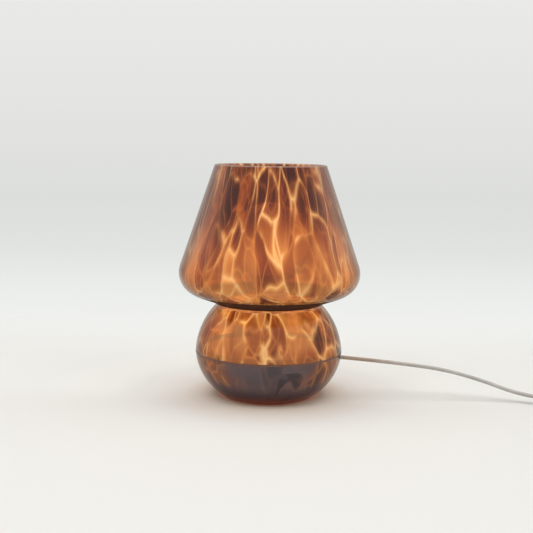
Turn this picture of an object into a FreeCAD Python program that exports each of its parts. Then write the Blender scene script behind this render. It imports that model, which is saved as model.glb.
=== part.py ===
"""Mushroom table lamp: tortoiseshell glass shade and bowl, weighted foot, screw lampholder, cord set.

Millimetres. Origin on the floor under the lamp's axis, +Z up, the cord leaves towards +X.
"""
import FreeCAD, Part
import math
import os

V = FreeCAD.Vector
UP = V(0, 0, 1)

# ---- glass -------------------------------------------------------------------------------------
LAMP_HEIGHT = 240.0           # floor to the lip of the shade
RIM_RADIUS = 58.0             # outside of the lip
SHADE_RADIUS = 94.2           # widest circle of the shade
SHADE_WIDEST_HEIGHT = 128.5   # height of that circle
KNUCKLE_RADIUS = 24.0         # round shoulder under the cone
UNDERSIDE_SLOPE = 20.0        # degrees, the shade's underside against the floor
NECK_RADIUS = 56.0            # narrowest circle between shade and base
NECK_FILLET = 3.5             # inside corner of the neck
SEAM_RADIUS = 76.5            # outside of both glasses where they meet
SEAM_HEIGHT = 46.5            # middle of the tray's flange, between the glasses
UPPER_BELLY_ARC = 73.5        # curve of the base above the seam
LOWER_BELLY_ARC = 57.5        # curve of the base below the seam
FOOT_RADIUS = 47.6            # where the bowl's flat standing ring begins
FOOT_CORNER = 5.0             # rounded corner between bowl and standing ring
GLASS_WALL = 3.0
BOWL_BOTTOM_WALL = 4.0
KICK_OUTER_RADIUS = 37.0      # pushed-up middle of the bowl's bottom
KICK_TOP_RADIUS = 17.0
KICK_HEIGHT = 10.0

# ---- seam, tray and weight ---------------------------------------------------------------------
GASKET = 0.5                  # thickness between glass and tray flange
GASKET_LIP = 1.0              # wall of the lip that centres a glass
GASKET_LIP_HEIGHT = 4.0
LIP_CLEARANCE = 0.4           # lip to the glass around it
FLANGE_SETBACK = 0.3          # flange and gaskets stop this far inside the glass surface
TRAY_SHEET = 1.0
TRAY_DEPTH = 7.5              # flange top to dish floor
TRAY_FLANGE_WIDTH = 7.5       # from the glasses' outer surface in to the dish
TRAY_WALL_RUN = 9.0           # the dish's sloping wall, measured along the radius
WEIGHT_SETBACK = 9.0          # the weight's side inside the dish floor's edge
WEIGHT_DRAFT = 2.0            # the casting is this much narrower at its bottom
WEIGHT_CHAMFER = 2.0
PAD_THICKNESS = 1.0           # rubber between weight and glass
PAD_RADIUS = 15.5
CAVITY_RADIUS = 13.0          # pocket in the weight around the stem's lower end
CAVITY_DEPTH = 12.0
CHANNEL_WIDTH = 7.0           # radial groove for the cord
CHANNEL_DEPTH = 11.0
FOOT_RING_THICKNESS = 1.2
FOOT_RING_WIDTH = 8.0

# ---- fasteners ---------------------------------------------------------------------------------
BOTTOM_BOLT_DIAMETER = 8.0
BOTTOM_BOLT_LENGTH = 17.0
BOTTOM_BOLT_HEAD_RADIUS = 7.0
BOTTOM_BOLT_HEAD_HEIGHT = 4.6
BOTTOM_WASHER_RADIUS = 13.0
BOTTOM_WASHER_THICKNESS = 1.5
RUBBER_WASHER_THICKNESS = 1.5
BOLT_HOLE_CLEARANCE = 0.5
THREAD_CLEARANCE = 0.05
TRAY_SCREW_DIAMETER = 4.0
TRAY_SCREW_LENGTH = 10.0
TRAY_SCREW_HEAD_RADIUS = 3.9
TRAY_SCREW_HEAD_HEIGHT = 2.2
TRAY_SCREW_CIRCLE = 38.0
TRAY_SCREW_ANGLES = (60.0, 180.0, 300.0)

# ---- stem --------------------------------------------------------------------------------------
STEM_DIAMETER = 10.0
STEM_BORE = 8.0
STEM_NUT_ACROSS_FLATS = 14.0
STEM_NUT_HEIGHT = 3.0
STEM_WASHER_RADIUS = 9.0
STEM_WASHER_THICKNESS = 1.0
STEM_BELOW_NUT = 1.0          # stem left under its lower nut
STEM_IN_HOLDER = 6.0          # stem inside the lampholder's cap
HOLDER_GAP = 7.8              # upper stem nut to the lampholder

# ---- lampholder --------------------------------------------------------------------------------
HOLDER_RADIUS = 19.7
HOLDER_WALL = 2.0
HOLDER_CAP_HEIGHT = 21.0
HOLDER_SHELL_HEIGHT = 36.0
HOLDER_BOSS_RADIUS = 9.0
HOLDER_BOSS_HEIGHT = 5.0
HOLDER_SHOULDER_HEIGHT = 12.0  # where the cap reaches its full radius
HOLDER_LIP_RADIUS = 18.4      # outside of the shell at its mouth
GRIP_COUNT = 24               # moulded grip flutes round the shell
GRIP_RADIUS = 1.2
GRIP_HEIGHT = 12.0
INSERT_RADIUS = 17.2
INSERT_HEIGHT = 11.0
INSERT_LEDGE = 3.0            # insert above the joint between cap and shell
CAP_THREAD_RADIUS = 13.1      # bulb cap, over the thread
CAP_THREAD_PITCH = 3.629
THREAD_CONTACT_CLEARANCE = 0.4
THREAD_CONTACT_SHEET = 0.5
THREAD_CONTACT_HEIGHT = 22.0
CONTACT_STRIP_WIDTH = 5.0
CONTACT_STRIP_SHEET = 0.6
TERMINAL_RADIUS = 10.0        # terminal screws from the axis
TERMINAL_SCREW_DIAMETER = 3.0
TERMINAL_HEAD_RADIUS = 2.6
TERMINAL_HEAD_HEIGHT = 1.8
TERMINAL_SCREW_LENGTH = 7.0

# ---- bulb --------------------------------------------------------------------------------------
GLOBE_RADIUS = 40.0
GLOBE_WALL = 1.5
GLOBE_MOUTH_RADIUS = 21.0     # where the globe sits in its housing
BULB_CAP_HEIGHT = 22.0
BULB_CAP_WALL = 0.5
BULB_TIP_RADIUS = 4.8
BULB_TIP_HEIGHT = 1.2
INSULATOR_HEIGHT = 3.0
HOUSING_HEIGHT = 19.0         # from the lampholder's mouth to the globe
HOUSING_WALL = 1.6
HOUSING_GAP = 1.0             # housing over the lampholder's mouth
LED_BOARD_RADIUS = 18.0
LED_BOARD_THICKNESS = 1.6
LED_COUNT = 8
LED_CIRCLE = 12.0
LED_SIZE = 2.8
LED_HEIGHT = 0.8
DRIVER_WIDTH = 15.0
DRIVER_THICKNESS = 1.2

# ---- cord --------------------------------------------------------------------------------------
CORD_DIAMETER = 4.2           # round tube of the flat 5.2 x 3.2 cord's section
CORD_AZIMUTH = -6.0           # degrees, direction in which the cord leaves the lamp
CORD_EXIT_DROP = 4.7          # cord's centre under the bowl's rim
CORD_EXIT_OUTSTAND = 0.6      # the cord's inner run ends this far outside the glass
NOTCH_RADIUS = 2.9
GROMMET_CLEARANCE = 0.1
GROMMET_SETBACK = 1.2         # the grommet's face inside the glass surface
GROMMET_FLANGE = 1.2
CORD_CHANNEL_LIFT = 2.5       # cord's centre over the channel's floor
CORD_INNER_BEND = 12.0
CORD_STEM_BEND = 8.0
WIRE_DIAMETER = 1.8
WIRE_SPREAD = 1.6             # each wire from the axis at the stem's top
CLAMP_RADIUS_OUT = 38.0       # strain relief from the axis
CLAMP_LENGTH = 24.0
CLAMP_WIDTH = 8.0
CLAMP_SHEET = 1.6
CLAMP_SCREW_SPACING = 17.0
CLAMP_SCREW_DIAMETER = 3.0
CLAMP_SCREW_LENGTH = 7.0
CLAMP_SCREW_HEAD_RADIUS = 2.7
CLAMP_SCREW_HEAD_HEIGHT = 1.8
CLAMP_POCKET_CLEARANCE = 0.5

# ---- inline switch -----------------------------------------------------------------------------
SWITCH_START_X = 296.0
SWITCH_Y = -35.0
SWITCH_LENGTH = 62.0
SWITCH_WIDTH = 25.0
SWITCH_HEIGHT = 15.0
SWITCH_PART_HEIGHT = 7.0      # joint between the two shells, at the cord's centre
SWITCH_CORNER = 9.0
SWITCH_EDGE = 2.5
SWITCH_WALL = 2.0
ROCKER_LENGTH = 15.0
ROCKER_WIDTH = 10.0
ROCKER_CROWN = 2.6            # rocker's ends over its middle line
ROCKER_TILT = 10.0            # degrees each way from level
ROCKER_PIVOT_RADIUS = 1.3
ROCKER_PIVOT_LENGTH = 1.6
ROCKER_PIVOT_DEPTH = 4.2      # pivot under the shell's top
ROCKER_GAP = 0.8              # rocker to its window
PIVOT_CLEARANCE = 0.3
PIVOT_POST_THICKNESS = 2.4
SWITCH_SCREW_SPACING = 38.0
SWITCH_SCREW_DIAMETER = 2.6
SWITCH_SCREW_HEAD_RADIUS = 2.4
SWITCH_SCREW_HEAD_HEIGHT = 1.6
CONTACT_LENGTH = 12.0
CONTACT_SHEET = 0.8
CONTACT_WIDTH = 4.0
CONTACT_SPACING = 20.0

# ---- coil --------------------------------------------------------------------------------------
COIL_CENTRE_X = 351.0
COIL_CENTRE_Y = 46.0
COIL_OUTER_RADIUS = 40.95     # centre line of the outermost turn
COIL_PITCH = 5.7              # between turns of one layer
COIL_LAYER_RISE = 5.0
COIL_HALF_TURNS = 7           # half turns in to the layer change
FLOOR_LIFT = 2.2              # cord's centre when it lies on the floor

# ---- plug --------------------------------------------------------------------------------------
PLUG_X = 397.0
PLUG_Y = 120.0                # the plug's tail, which the cord enters
PLUG_AXIS_HEIGHT = 7.0
PLUG_WIDTH = 35.3
PLUG_THICKNESS = 13.7
PLUG_WAIST_WIDTH = 26.0
PLUG_TAIL_WIDTH = 9.0
PLUG_TAIL_THICKNESS = 8.0
PLUG_TAIL_LENGTH = 12.0
PLUG_LENGTH = 38.0
PLUG_CORNER_SHARE = 0.42      # corner radius over the section's thickness
PLUG_CORD_BORE = 4.0          # depth of the cord's bore in the tail
PIN_DIAMETER = 4.0
PIN_LENGTH = 19.0
PIN_BARE_LENGTH = 9.0         # metal end beyond the insulating sleeve
PIN_CORE_DIAMETER = 2.9       # metal inside the insulating sleeve and the plug
PIN_SPACING = 18.6
PIN_ANCHOR = 8.0              # pin inside the plug

# ---- heights and radii that follow -------------------------------------------------------------
BOWL_RIM = SEAM_HEIGHT - TRAY_SHEET / 2 - GASKET
GLASS_BOTTOM = SEAM_HEIGHT + TRAY_SHEET / 2 + GASKET
FLANGE_TOP = SEAM_HEIGHT + TRAY_SHEET / 2
TRAY_FLOOR_TOP = FLANGE_TOP - TRAY_DEPTH
TRAY_DISH_RADIUS = SEAM_RADIUS - TRAY_FLANGE_WIDTH
TRAY_FLOOR_RADIUS = TRAY_DISH_RADIUS - TRAY_WALL_RUN
WEIGHT_RADIUS = TRAY_FLOOR_RADIUS - WEIGHT_SETBACK
WEIGHT_TOP = TRAY_FLOOR_TOP - TRAY_SHEET
WEIGHT_BOTTOM = KICK_HEIGHT + BOWL_BOTTOM_WALL + PAD_THICKNESS
CAVITY_FLOOR = WEIGHT_TOP - CAVITY_DEPTH
CHANNEL_FLOOR = WEIGHT_TOP - CHANNEL_DEPTH
CORD_EXIT_Z = BOWL_RIM - CORD_EXIT_DROP
STEM_BOTTOM = WEIGHT_TOP - STEM_NUT_HEIGHT - STEM_BELOW_NUT
STEM_NUT_TOP = TRAY_FLOOR_TOP + STEM_WASHER_THICKNESS + STEM_NUT_HEIGHT
HOLDER_BOTTOM = STEM_NUT_TOP + HOLDER_GAP
STEM_TOP = HOLDER_BOTTOM + STEM_IN_HOLDER
HOLDER_JOINT = HOLDER_BOTTOM + HOLDER_CAP_HEIGHT
HOLDER_TOP = HOLDER_JOINT + HOLDER_SHELL_HEIGHT
INSERT_TOP = HOLDER_JOINT + INSERT_LEDGE
INSERT_BOTTOM = INSERT_TOP - INSERT_HEIGHT
BULB_CAP_TOP = HOLDER_TOP
BULB_CAP_BOTTOM = BULB_CAP_TOP - BULB_CAP_HEIGHT
BULB_TIP = BULB_CAP_BOTTOM - INSULATOR_HEIGHT - BULB_TIP_HEIGHT
GLOBE_MOUTH_HEIGHT = HOLDER_TOP + HOUSING_HEIGHT
GLOBE_CENTRE_HEIGHT = GLOBE_MOUTH_HEIGHT + math.sqrt(GLOBE_RADIUS ** 2 - GLOBE_MOUTH_RADIUS ** 2)
CORD_RADIUS = CORD_DIAMETER / 2
COIL_OUTER_X = COIL_CENTRE_X + COIL_OUTER_RADIUS
SWITCH_END_X = SWITCH_START_X + SWITCH_LENGTH

# ---- free stretches of the cord: points chosen by hand, in order along the cord ----------------
RUN_A_POINTS = (
    (76.68, -8.06, 40.8), (108.0, -11.3, 38.8), (146.0, -13.5, 35.3), (184.0, -15.5, 29.2),
    (220.0, -18.5, 19.6), (251.0, -25.5, 10.8), (278.0, -35.0, 7.0), (299.0, -35.0, 7.0),
)
RUN_B_POINTS = (
    (355.0, -35.0, 7.0), (369.0, -35.0, 7.0), (382.5, -28.5, 5.0), (391.2, -15.5, 3.0),
    (393.2, 2.5, 2.2), (391.95, 17.0, 2.2), (391.95, 26.0, 2.2),
)
RUN_C_POINTS = (
    (389.1, 60.0, 7.2), (389.3, 75.0, 6.6), (394.0, 91.0, 6.0), (397.0, 107.0, 7.0), (397.0, 123.0, 7.0),
)


# ---- drawing helpers ---------------------------------------------------------------------------
def polar(centre, radius, degrees):
    """Point of a circle in the (radius, height) half plane."""
    angle = math.radians(degrees)
    return (centre[0] + radius * math.cos(angle), centre[1] + radius * math.sin(angle))


def direction(start, end):
    """Angle in degrees of the line from start to end."""
    return math.degrees(math.atan2(end[1] - start[1], end[0] - start[0]))


def line(start, end):
    return Part.LineSegment(V(start[0], 0, start[1]), V(end[0], 0, end[1])).toShape()


def arc(centre, radius, start, end):
    """Arc in the (radius, height) half plane between two angles in degrees."""
    points = [polar(centre, radius, angle) for angle in (start, (start + end) / 2, end)]
    return Part.Arc(*[V(p[0], 0, p[1]) for p in points]).toShape()


def meeting_point(centre_a, radius_a, centre_b, radius_b):
    """The crossing of two circles that lies nearer the lamp's axis."""
    gap = math.hypot(centre_b[0] - centre_a[0], centre_b[1] - centre_a[1])
    along = (radius_a ** 2 - radius_b ** 2 + gap ** 2) / (2 * gap)
    across = math.sqrt(radius_a ** 2 - along ** 2)
    unit = ((centre_b[0] - centre_a[0]) / gap, (centre_b[1] - centre_a[1]) / gap)
    foot = (centre_a[0] + unit[0] * along, centre_a[1] + unit[1] * along)
    both = [(foot[0] - side * unit[1] * across, foot[1] + side * unit[0] * across) for side in (1, -1)]
    return min(both)


def revolve(edges):
    """Solid swept round the lamp's axis by a closed chain of edges."""
    return Part.Face(Part.Wire(edges)).revolve(V(0, 0, 0), UP, 360)


def revolve_polygon(*points):
    """Solid of revolution from the corners of a closed outline."""
    closed = points + (points[0],)
    return revolve([line(closed[i], closed[i + 1]) for i in range(len(points))])


def cylinder(radius, low, high, x=0.0, y=0.0):
    return Part.makeCylinder(radius, high - low, V(x, y, low))


def washer(inner, outer, low, high):
    return cylinder(outer, low, high).cut(cylinder(inner, low - 1, high + 1))


def box(x_low, x_high, y_low, y_high, z_low, z_high):
    return Part.makeBox(x_high - x_low, y_high - y_low, z_high - z_low, V(x_low, y_low, z_low))


def hexagon(across_flats, low, high):
    radius = across_flats / math.sqrt(3)
    corners = [V(radius * math.cos(math.radians(60 * i)), radius * math.sin(math.radians(60 * i)), low)
               for i in range(7)]
    return Part.Face(Part.makePolygon(corners)).extrude(V(0, 0, high - low))


def turned(shape, degrees, about=V(0, 0, 0), axis=UP):
    copy = shape.copy()
    copy.rotate(about, axis, degrees)
    return copy


def towards_cord(shape):
    """Turn what is drawn along +X to the direction in which the cord leaves."""
    return turned(shape, CORD_AZIMUTH)


def group(shapes):
    return Part.makeCompound(shapes)


# ---- tubes -------------------------------------------------------------------------------------
def rounded_wire(points, radii):
    """Straight runs between the points, joined by tangent arcs of the given radii."""
    edges = []
    start = points[0]
    for i, radius in enumerate(radii):
        corner = points[i + 1]
        back = (points[i] - corner).normalize()
        ahead = (points[i + 2] - corner).normalize()
        half_turn = (math.pi - back.getAngle(ahead)) / 2
        setback = radius * math.tan(half_turn)
        first = corner + back * setback
        last = corner + ahead * setback
        bisector = (back + ahead).normalize()
        middle = corner + bisector * (radius / math.cos(half_turn) - radius)
        edges.append(Part.LineSegment(start, first).toShape())
        edges.append(Part.Arc(first, middle, last).toShape())
        start = last
    edges.append(Part.LineSegment(start, points[-1]).toShape())
    return Part.Wire(edges)


def free_radii(points):
    """Bend radius at each corner of a free stretch, from the shorter run beside it."""
    radii = []
    for before, corner, after in zip(points, points[1:], points[2:]):
        half_turn = (corner - before).getAngle(after - corner) / 2
        shorter = min((corner - before).Length, (after - corner).Length)
        radii.append(0.45 * shorter / math.tan(half_turn))
    return radii


def tube(wire, diameter):
    """Round tube along a wire."""
    start = wire.Edges[0].valueAt(wire.Edges[0].FirstParameter)
    along = wire.Edges[0].tangentAt(wire.Edges[0].FirstParameter)
    section = Part.Wire([Part.Circle(start, along, diameter / 2).toShape()])
    shell = Part.BRepOffsetAPI.MakePipeShell(wire)
    shell.add(section)
    shell.build()
    shell.makeSolid()
    return shell.shape()


def free_stretch(name, coordinates):
    points = [V(*p) for p in coordinates]
    radii = free_radii(points)
    wire = rounded_wire(points, radii)
    solid = tube(wire, CORD_DIAMETER)
    expected = math.pi * CORD_RADIUS ** 2 * wire.Length
    print(name, "length %.1f" % wire.Length, "radii", [round(radius) for radius in radii],
          "volume share %.3f" % (solid.Volume / expected))
    return solid


# ---- the glass outline -------------------------------------------------------------------------
def outline_frame():
    """Centres and angles of the upper glass's outline, shared by its outside and inside."""
    lip = (RIM_RADIUS - GLASS_WALL / 2, LAMP_HEIGHT - GLASS_WALL / 2)
    knuckle = (SHADE_RADIUS - KNUCKLE_RADIUS, SHADE_WIDEST_HEIGHT)
    reach = math.hypot(knuckle[0] - lip[0], knuckle[1] - lip[1])
    spread = math.degrees(math.asin((KNUCKLE_RADIUS - GLASS_WALL / 2) / reach))
    cone_normal = direction(lip, knuckle) + spread + 90
    under_normal = UNDERSIDE_SLOPE - 90
    normal = polar((0, 0), 1, under_normal)
    plane = KNUCKLE_RADIUS + knuckle[0] * normal[0] + knuckle[1] * normal[1]
    neck_out = NECK_RADIUS + NECK_FILLET
    neck = (neck_out, (plane + NECK_FILLET - neck_out * normal[0]) / normal[1])
    seam = (SEAM_RADIUS, SEAM_HEIGHT)
    belly = meeting_point(seam, UPPER_BELLY_ARC, neck, UPPER_BELLY_ARC + NECK_FILLET)
    return lip, knuckle, neck, belly, cone_normal, under_normal


def belly_radius(height, inset):
    """Radius of the base above the seam at a height, this far inside its outer surface."""
    belly = outline_frame()[3]
    return belly[0] + math.sqrt((UPPER_BELLY_ARC - inset) ** 2 - (height - belly[1]) ** 2)


def bowl_centres():
    """Centres of the bowl's side arc and of its rounded foot corner."""
    corner = (FOOT_RADIUS, FOOT_RING_THICKNESS + FOOT_CORNER)
    side = meeting_point((SEAM_RADIUS, SEAM_HEIGHT), LOWER_BELLY_ARC, corner, LOWER_BELLY_ARC - FOOT_CORNER)
    return side, corner


def bowl_radius(height, inset):
    side = bowl_centres()[0]
    return side[0] + math.sqrt((LOWER_BELLY_ARC - inset) ** 2 - (height - side[1]) ** 2)


def glass_skin(inset):
    """Open outline of the upper glass from its lip down to its seam edge."""
    lip, knuckle, neck, belly, cone_normal, under_normal = outline_frame()
    shoulder = KNUCKLE_RADIUS - inset
    corner = NECK_FILLET + inset
    side = UPPER_BELLY_ARC - inset
    belly_normal = direction(belly, neck)
    foot = (belly_radius(GLASS_BOTTOM, inset), GLASS_BOTTOM)
    return [
        line(polar(lip, GLASS_WALL / 2 - inset, cone_normal), polar(knuckle, shoulder, cone_normal)),
        arc(knuckle, shoulder, cone_normal, under_normal),
        line(polar(knuckle, shoulder, under_normal), polar(neck, -corner, under_normal)),
        arc(neck, corner, under_normal + 180, belly_normal + 180),
        arc(belly, side, belly_normal, direction(belly, foot)),
    ]


def glass_shade():
    lip, _, _, _, cone_normal, _ = outline_frame()
    outside = glass_skin(0)
    inside = glass_skin(GLASS_WALL)
    edge = line((belly_radius(GLASS_BOTTOM, 0), GLASS_BOTTOM), (belly_radius(GLASS_BOTTOM, GLASS_WALL), GLASS_BOTTOM))
    rounded_lip = arc(lip, GLASS_WALL / 2, cone_normal + 180, cone_normal)
    return revolve(outside + [edge] + inside[::-1] + [rounded_lip])


def kick_curve(low, high):
    """Two equal arcs that rise from the standing ring to the flat top of the pushed-up bottom."""
    run = (low[0] - high[0]) / 2
    rise = (high[1] - low[1]) / 2
    radius = (run ** 2 + rise ** 2) / (2 * rise)
    sweep = math.degrees(math.asin(run / radius))
    return [arc((low[0], low[1] + radius), radius, -90, -90 - sweep),
            arc((high[0], high[1] - radius), radius, 90 - sweep, 90)]


def glass_bowl():
    side, corner = bowl_centres()
    turn = direction(side, corner)
    hole = BOTTOM_BOLT_DIAMETER / 2 + BOLT_HOLE_CLEARANCE
    low = FOOT_RING_THICKNESS
    inner_low = low + BOWL_BOTTOM_WALL
    inner_side = LOWER_BELLY_ARC - GLASS_WALL
    inner_fillet = FOOT_CORNER - GLASS_WALL
    fillet_height = inner_low + inner_fillet
    fillet_out = side[0] + math.sqrt((inner_side - inner_fillet) ** 2 - (fillet_height - side[1]) ** 2)
    fillet = (fillet_out, fillet_height)
    outer_rim = (bowl_radius(BOWL_RIM, 0), BOWL_RIM)
    inner_rim = (bowl_radius(BOWL_RIM, GLASS_WALL), BOWL_RIM)
    outside = [
        arc(side, LOWER_BELLY_ARC, direction(side, outer_rim), turn),
        arc(corner, FOOT_CORNER, turn, -90),
        line((FOOT_RADIUS, low), (KICK_OUTER_RADIUS, low)),
    ]
    outside += kick_curve((KICK_OUTER_RADIUS, low), (KICK_TOP_RADIUS, KICK_HEIGHT))
    outside.append(line((KICK_TOP_RADIUS, KICK_HEIGHT), (hole, KICK_HEIGHT)))
    inner_top = KICK_HEIGHT + BOWL_BOTTOM_WALL
    inside = [line((hole, KICK_HEIGHT), (hole, inner_top)), line((hole, inner_top), (KICK_TOP_RADIUS, inner_top))]
    inside += kick_curve((KICK_OUTER_RADIUS, inner_low), (KICK_TOP_RADIUS, inner_top))[::-1]
    inside.append(line((KICK_OUTER_RADIUS, inner_low), (fillet_out, inner_low)))
    inside.append(arc(fillet, inner_fillet, -90, direction(side, fillet)))
    inside.append(arc(side, inner_side, direction(side, fillet), direction(side, inner_rim)))
    inside.append(line(inner_rim, outer_rim))
    return revolve(outside + inside).cut(towards_cord(cord_slot(NOTCH_RADIUS, FOOT_RADIUS, SHADE_RADIUS)))


def cord_slot(radius, x_low, x_high):
    """U-shaped bar along +X that cuts or fills the cord's notch, round at its bottom, open at the top."""
    round_part = Part.makeCylinder(radius, x_high - x_low, V(x_low, 0, CORD_EXIT_Z), V(1, 0, 0))
    return round_part.fuse(box(x_low, x_high, -radius, radius, CORD_EXIT_Z, SEAM_HEIGHT + GASKET)).removeSplitter()


def foot_ring():
    return washer(FOOT_RADIUS - FOOT_RING_WIDTH, FOOT_RADIUS, 0, FOOT_RING_THICKNESS)


# ---- seam, tray and weight ---------------------------------------------------------------------
def upper_gasket():
    lip_top = GLASS_BOTTOM + GASKET_LIP_HEIGHT
    lip_out = belly_radius(lip_top, GLASS_WALL) - LIP_CLEARANCE
    lip_in = lip_out - GASKET_LIP
    edge = SEAM_RADIUS - FLANGE_SETBACK
    return revolve_polygon((lip_in, FLANGE_TOP), (edge, FLANGE_TOP), (edge, GLASS_BOTTOM),
                           (lip_out, GLASS_BOTTOM), (lip_out, lip_top), (lip_in, lip_top))


def lower_gasket():
    lip_low = BOWL_RIM - GASKET_LIP_HEIGHT
    lip_out = bowl_radius(lip_low, GLASS_WALL) - LIP_CLEARANCE
    lip_in = lip_out - GASKET_LIP
    edge = SEAM_RADIUS - FLANGE_SETBACK
    flange_low = FLANGE_TOP - TRAY_SHEET
    ring = revolve_polygon((lip_in, flange_low), (edge, flange_low), (edge, BOWL_RIM),
                           (lip_out, BOWL_RIM), (lip_out, lip_low), (lip_in, lip_low))
    opening = box(lip_in - GASKET_LIP, lip_out + GASKET_LIP, -NOTCH_RADIUS - GROMMET_FLANGE,
                  NOTCH_RADIUS + GROMMET_FLANGE, lip_low - 1, BOWL_RIM)
    return ring.cut(towards_cord(opening))


def tray():
    """Pressed dish: flat flange in the seam, sloping wall, flat floor with stem and screw holes."""
    slope = direction((TRAY_FLOOR_RADIUS, TRAY_FLOOR_TOP), (TRAY_DISH_RADIUS, FLANGE_TOP))
    shift = TRAY_SHEET * math.tan(math.radians(slope / 2))
    edge = SEAM_RADIUS - FLANGE_SETBACK
    stem_hole = STEM_DIAMETER / 2 + THREAD_CLEARANCE
    dish = revolve_polygon(
        (stem_hole, TRAY_FLOOR_TOP), (TRAY_FLOOR_RADIUS, TRAY_FLOOR_TOP), (TRAY_DISH_RADIUS, FLANGE_TOP),
        (edge, FLANGE_TOP), (edge, FLANGE_TOP - TRAY_SHEET), (TRAY_DISH_RADIUS + shift, FLANGE_TOP - TRAY_SHEET),
        (TRAY_FLOOR_RADIUS + shift, WEIGHT_TOP), (stem_hole, WEIGHT_TOP))
    for angle in TRAY_SCREW_ANGLES:
        x, y = polar((0, 0), TRAY_SCREW_CIRCLE, angle)
        dish = dish.cut(cylinder(TRAY_SCREW_DIAMETER / 2 + THREAD_CLEARANCE, 0, LAMP_HEIGHT, x, y))
    return dish


def clamp_seat_height():
    """Top of the cord in its channel, where the strain relief presses on it."""
    return CHANNEL_FLOOR + CORD_CHANNEL_LIFT + CORD_RADIUS


def clamp_screw_places():
    return [towards_cord(Part.Vertex(CLAMP_RADIUS_OUT, side * CLAMP_SCREW_SPACING / 2, 0)).Point for side in (1, -1)]


def ballast_weight():
    bolt_hole = BOTTOM_BOLT_DIAMETER / 2 + THREAD_CLEARANCE
    low_radius = WEIGHT_RADIUS - WEIGHT_DRAFT
    casting = revolve_polygon(
        (bolt_hole, WEIGHT_BOTTOM), (low_radius - WEIGHT_CHAMFER, WEIGHT_BOTTOM),
        (low_radius, WEIGHT_BOTTOM + WEIGHT_CHAMFER), (WEIGHT_RADIUS, WEIGHT_TOP - WEIGHT_CHAMFER),
        (WEIGHT_RADIUS - WEIGHT_CHAMFER, WEIGHT_TOP), (CAVITY_RADIUS, WEIGHT_TOP),
        (CAVITY_RADIUS, CAVITY_FLOOR), (bolt_hole, CAVITY_FLOOR))
    half = CHANNEL_WIDTH / 2
    channel = box(0, WEIGHT_RADIUS + WEIGHT_DRAFT, -half, half, CHANNEL_FLOOR, WEIGHT_TOP + 1)
    pocket_x = CLAMP_WIDTH / 2 + CLAMP_POCKET_CLEARANCE
    pocket_y = CLAMP_LENGTH / 2 + CLAMP_POCKET_CLEARANCE
    pocket = box(CLAMP_RADIUS_OUT - pocket_x, CLAMP_RADIUS_OUT + pocket_x, -pocket_y, pocket_y,
                 clamp_seat_height(), WEIGHT_TOP + 1)
    casting = casting.cut(towards_cord(channel)).cut(towards_cord(pocket))
    for angle in TRAY_SCREW_ANGLES:
        x, y = polar((0, 0), TRAY_SCREW_CIRCLE, angle)
        low = TRAY_FLOOR_TOP - TRAY_SCREW_LENGTH
        casting = casting.cut(cylinder(TRAY_SCREW_DIAMETER / 2 + THREAD_CLEARANCE, low, WEIGHT_TOP + 1, x, y))
    for place in clamp_screw_places():
        low = clamp_seat_height() + CLAMP_SHEET - CLAMP_SCREW_LENGTH
        casting = casting.cut(cylinder(CLAMP_SCREW_DIAMETER / 2 + THREAD_CLEARANCE, low, WEIGHT_TOP + 1,
                                       place.x, place.y))
    return casting


def ballast_pad():
    hole = BOTTOM_BOLT_DIAMETER / 2 + BOLT_HOLE_CLEARANCE
    return washer(hole, PAD_RADIUS, WEIGHT_BOTTOM - PAD_THICKNESS, WEIGHT_BOTTOM)


def screw(diameter, length, head_radius, head_height, x, y, seat):
    """Pan-head screw with its seat at a height, shank downwards."""
    head = cylinder(head_radius, seat, seat + head_height, x, y)
    top_edges = [edge for edge in head.Edges if edge.BoundBox.ZMin > seat + head_height / 2 and edge.Closed]
    head = head.makeFillet(head_height * 0.45, top_edges)
    return head.fuse(cylinder(diameter / 2, seat - length, seat, x, y)).removeSplitter()


def bottom_bolt():
    seat = KICK_HEIGHT - RUBBER_WASHER_THICKNESS - BOTTOM_WASHER_THICKNESS
    bolt = screw(BOTTOM_BOLT_DIAMETER, BOTTOM_BOLT_LENGTH, BOTTOM_BOLT_HEAD_RADIUS, BOTTOM_BOLT_HEAD_HEIGHT, 0, 0, 0)
    return turned(bolt, 180, axis=V(1, 0, 0)).translated(V(0, 0, seat))


def bottom_washers():
    hole = BOTTOM_BOLT_DIAMETER / 2 + BOLT_HOLE_CLEARANCE
    middle = KICK_HEIGHT - RUBBER_WASHER_THICKNESS
    rubber = washer(hole, BOTTOM_WASHER_RADIUS, middle, KICK_HEIGHT)
    steel = washer(hole, BOTTOM_WASHER_RADIUS, middle - BOTTOM_WASHER_THICKNESS, middle)
    return rubber, steel


def tray_screws():
    screws = []
    for angle in TRAY_SCREW_ANGLES:
        x, y = polar((0, 0), TRAY_SCREW_CIRCLE, angle)
        screws.append(screw(TRAY_SCREW_DIAMETER, TRAY_SCREW_LENGTH, TRAY_SCREW_HEAD_RADIUS,
                            TRAY_SCREW_HEAD_HEIGHT, x, y, TRAY_FLOOR_TOP))
    return group(screws)


# ---- stem --------------------------------------------------------------------------------------
def stem_tube():
    return washer(STEM_BORE / 2, STEM_DIAMETER / 2, STEM_BOTTOM, STEM_TOP)


def stem_nut(low):
    nut = hexagon(STEM_NUT_ACROSS_FLATS, low, low + STEM_NUT_HEIGHT)
    return nut.cut(cylinder(STEM_DIAMETER / 2 + THREAD_CLEARANCE, low - 1, low + STEM_NUT_HEIGHT + 1))


def stem_washer():
    top = TRAY_FLOOR_TOP + STEM_WASHER_THICKNESS
    return washer(STEM_DIAMETER / 2 + THREAD_CLEARANCE, STEM_WASHER_RADIUS, TRAY_FLOOR_TOP, top)


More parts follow.
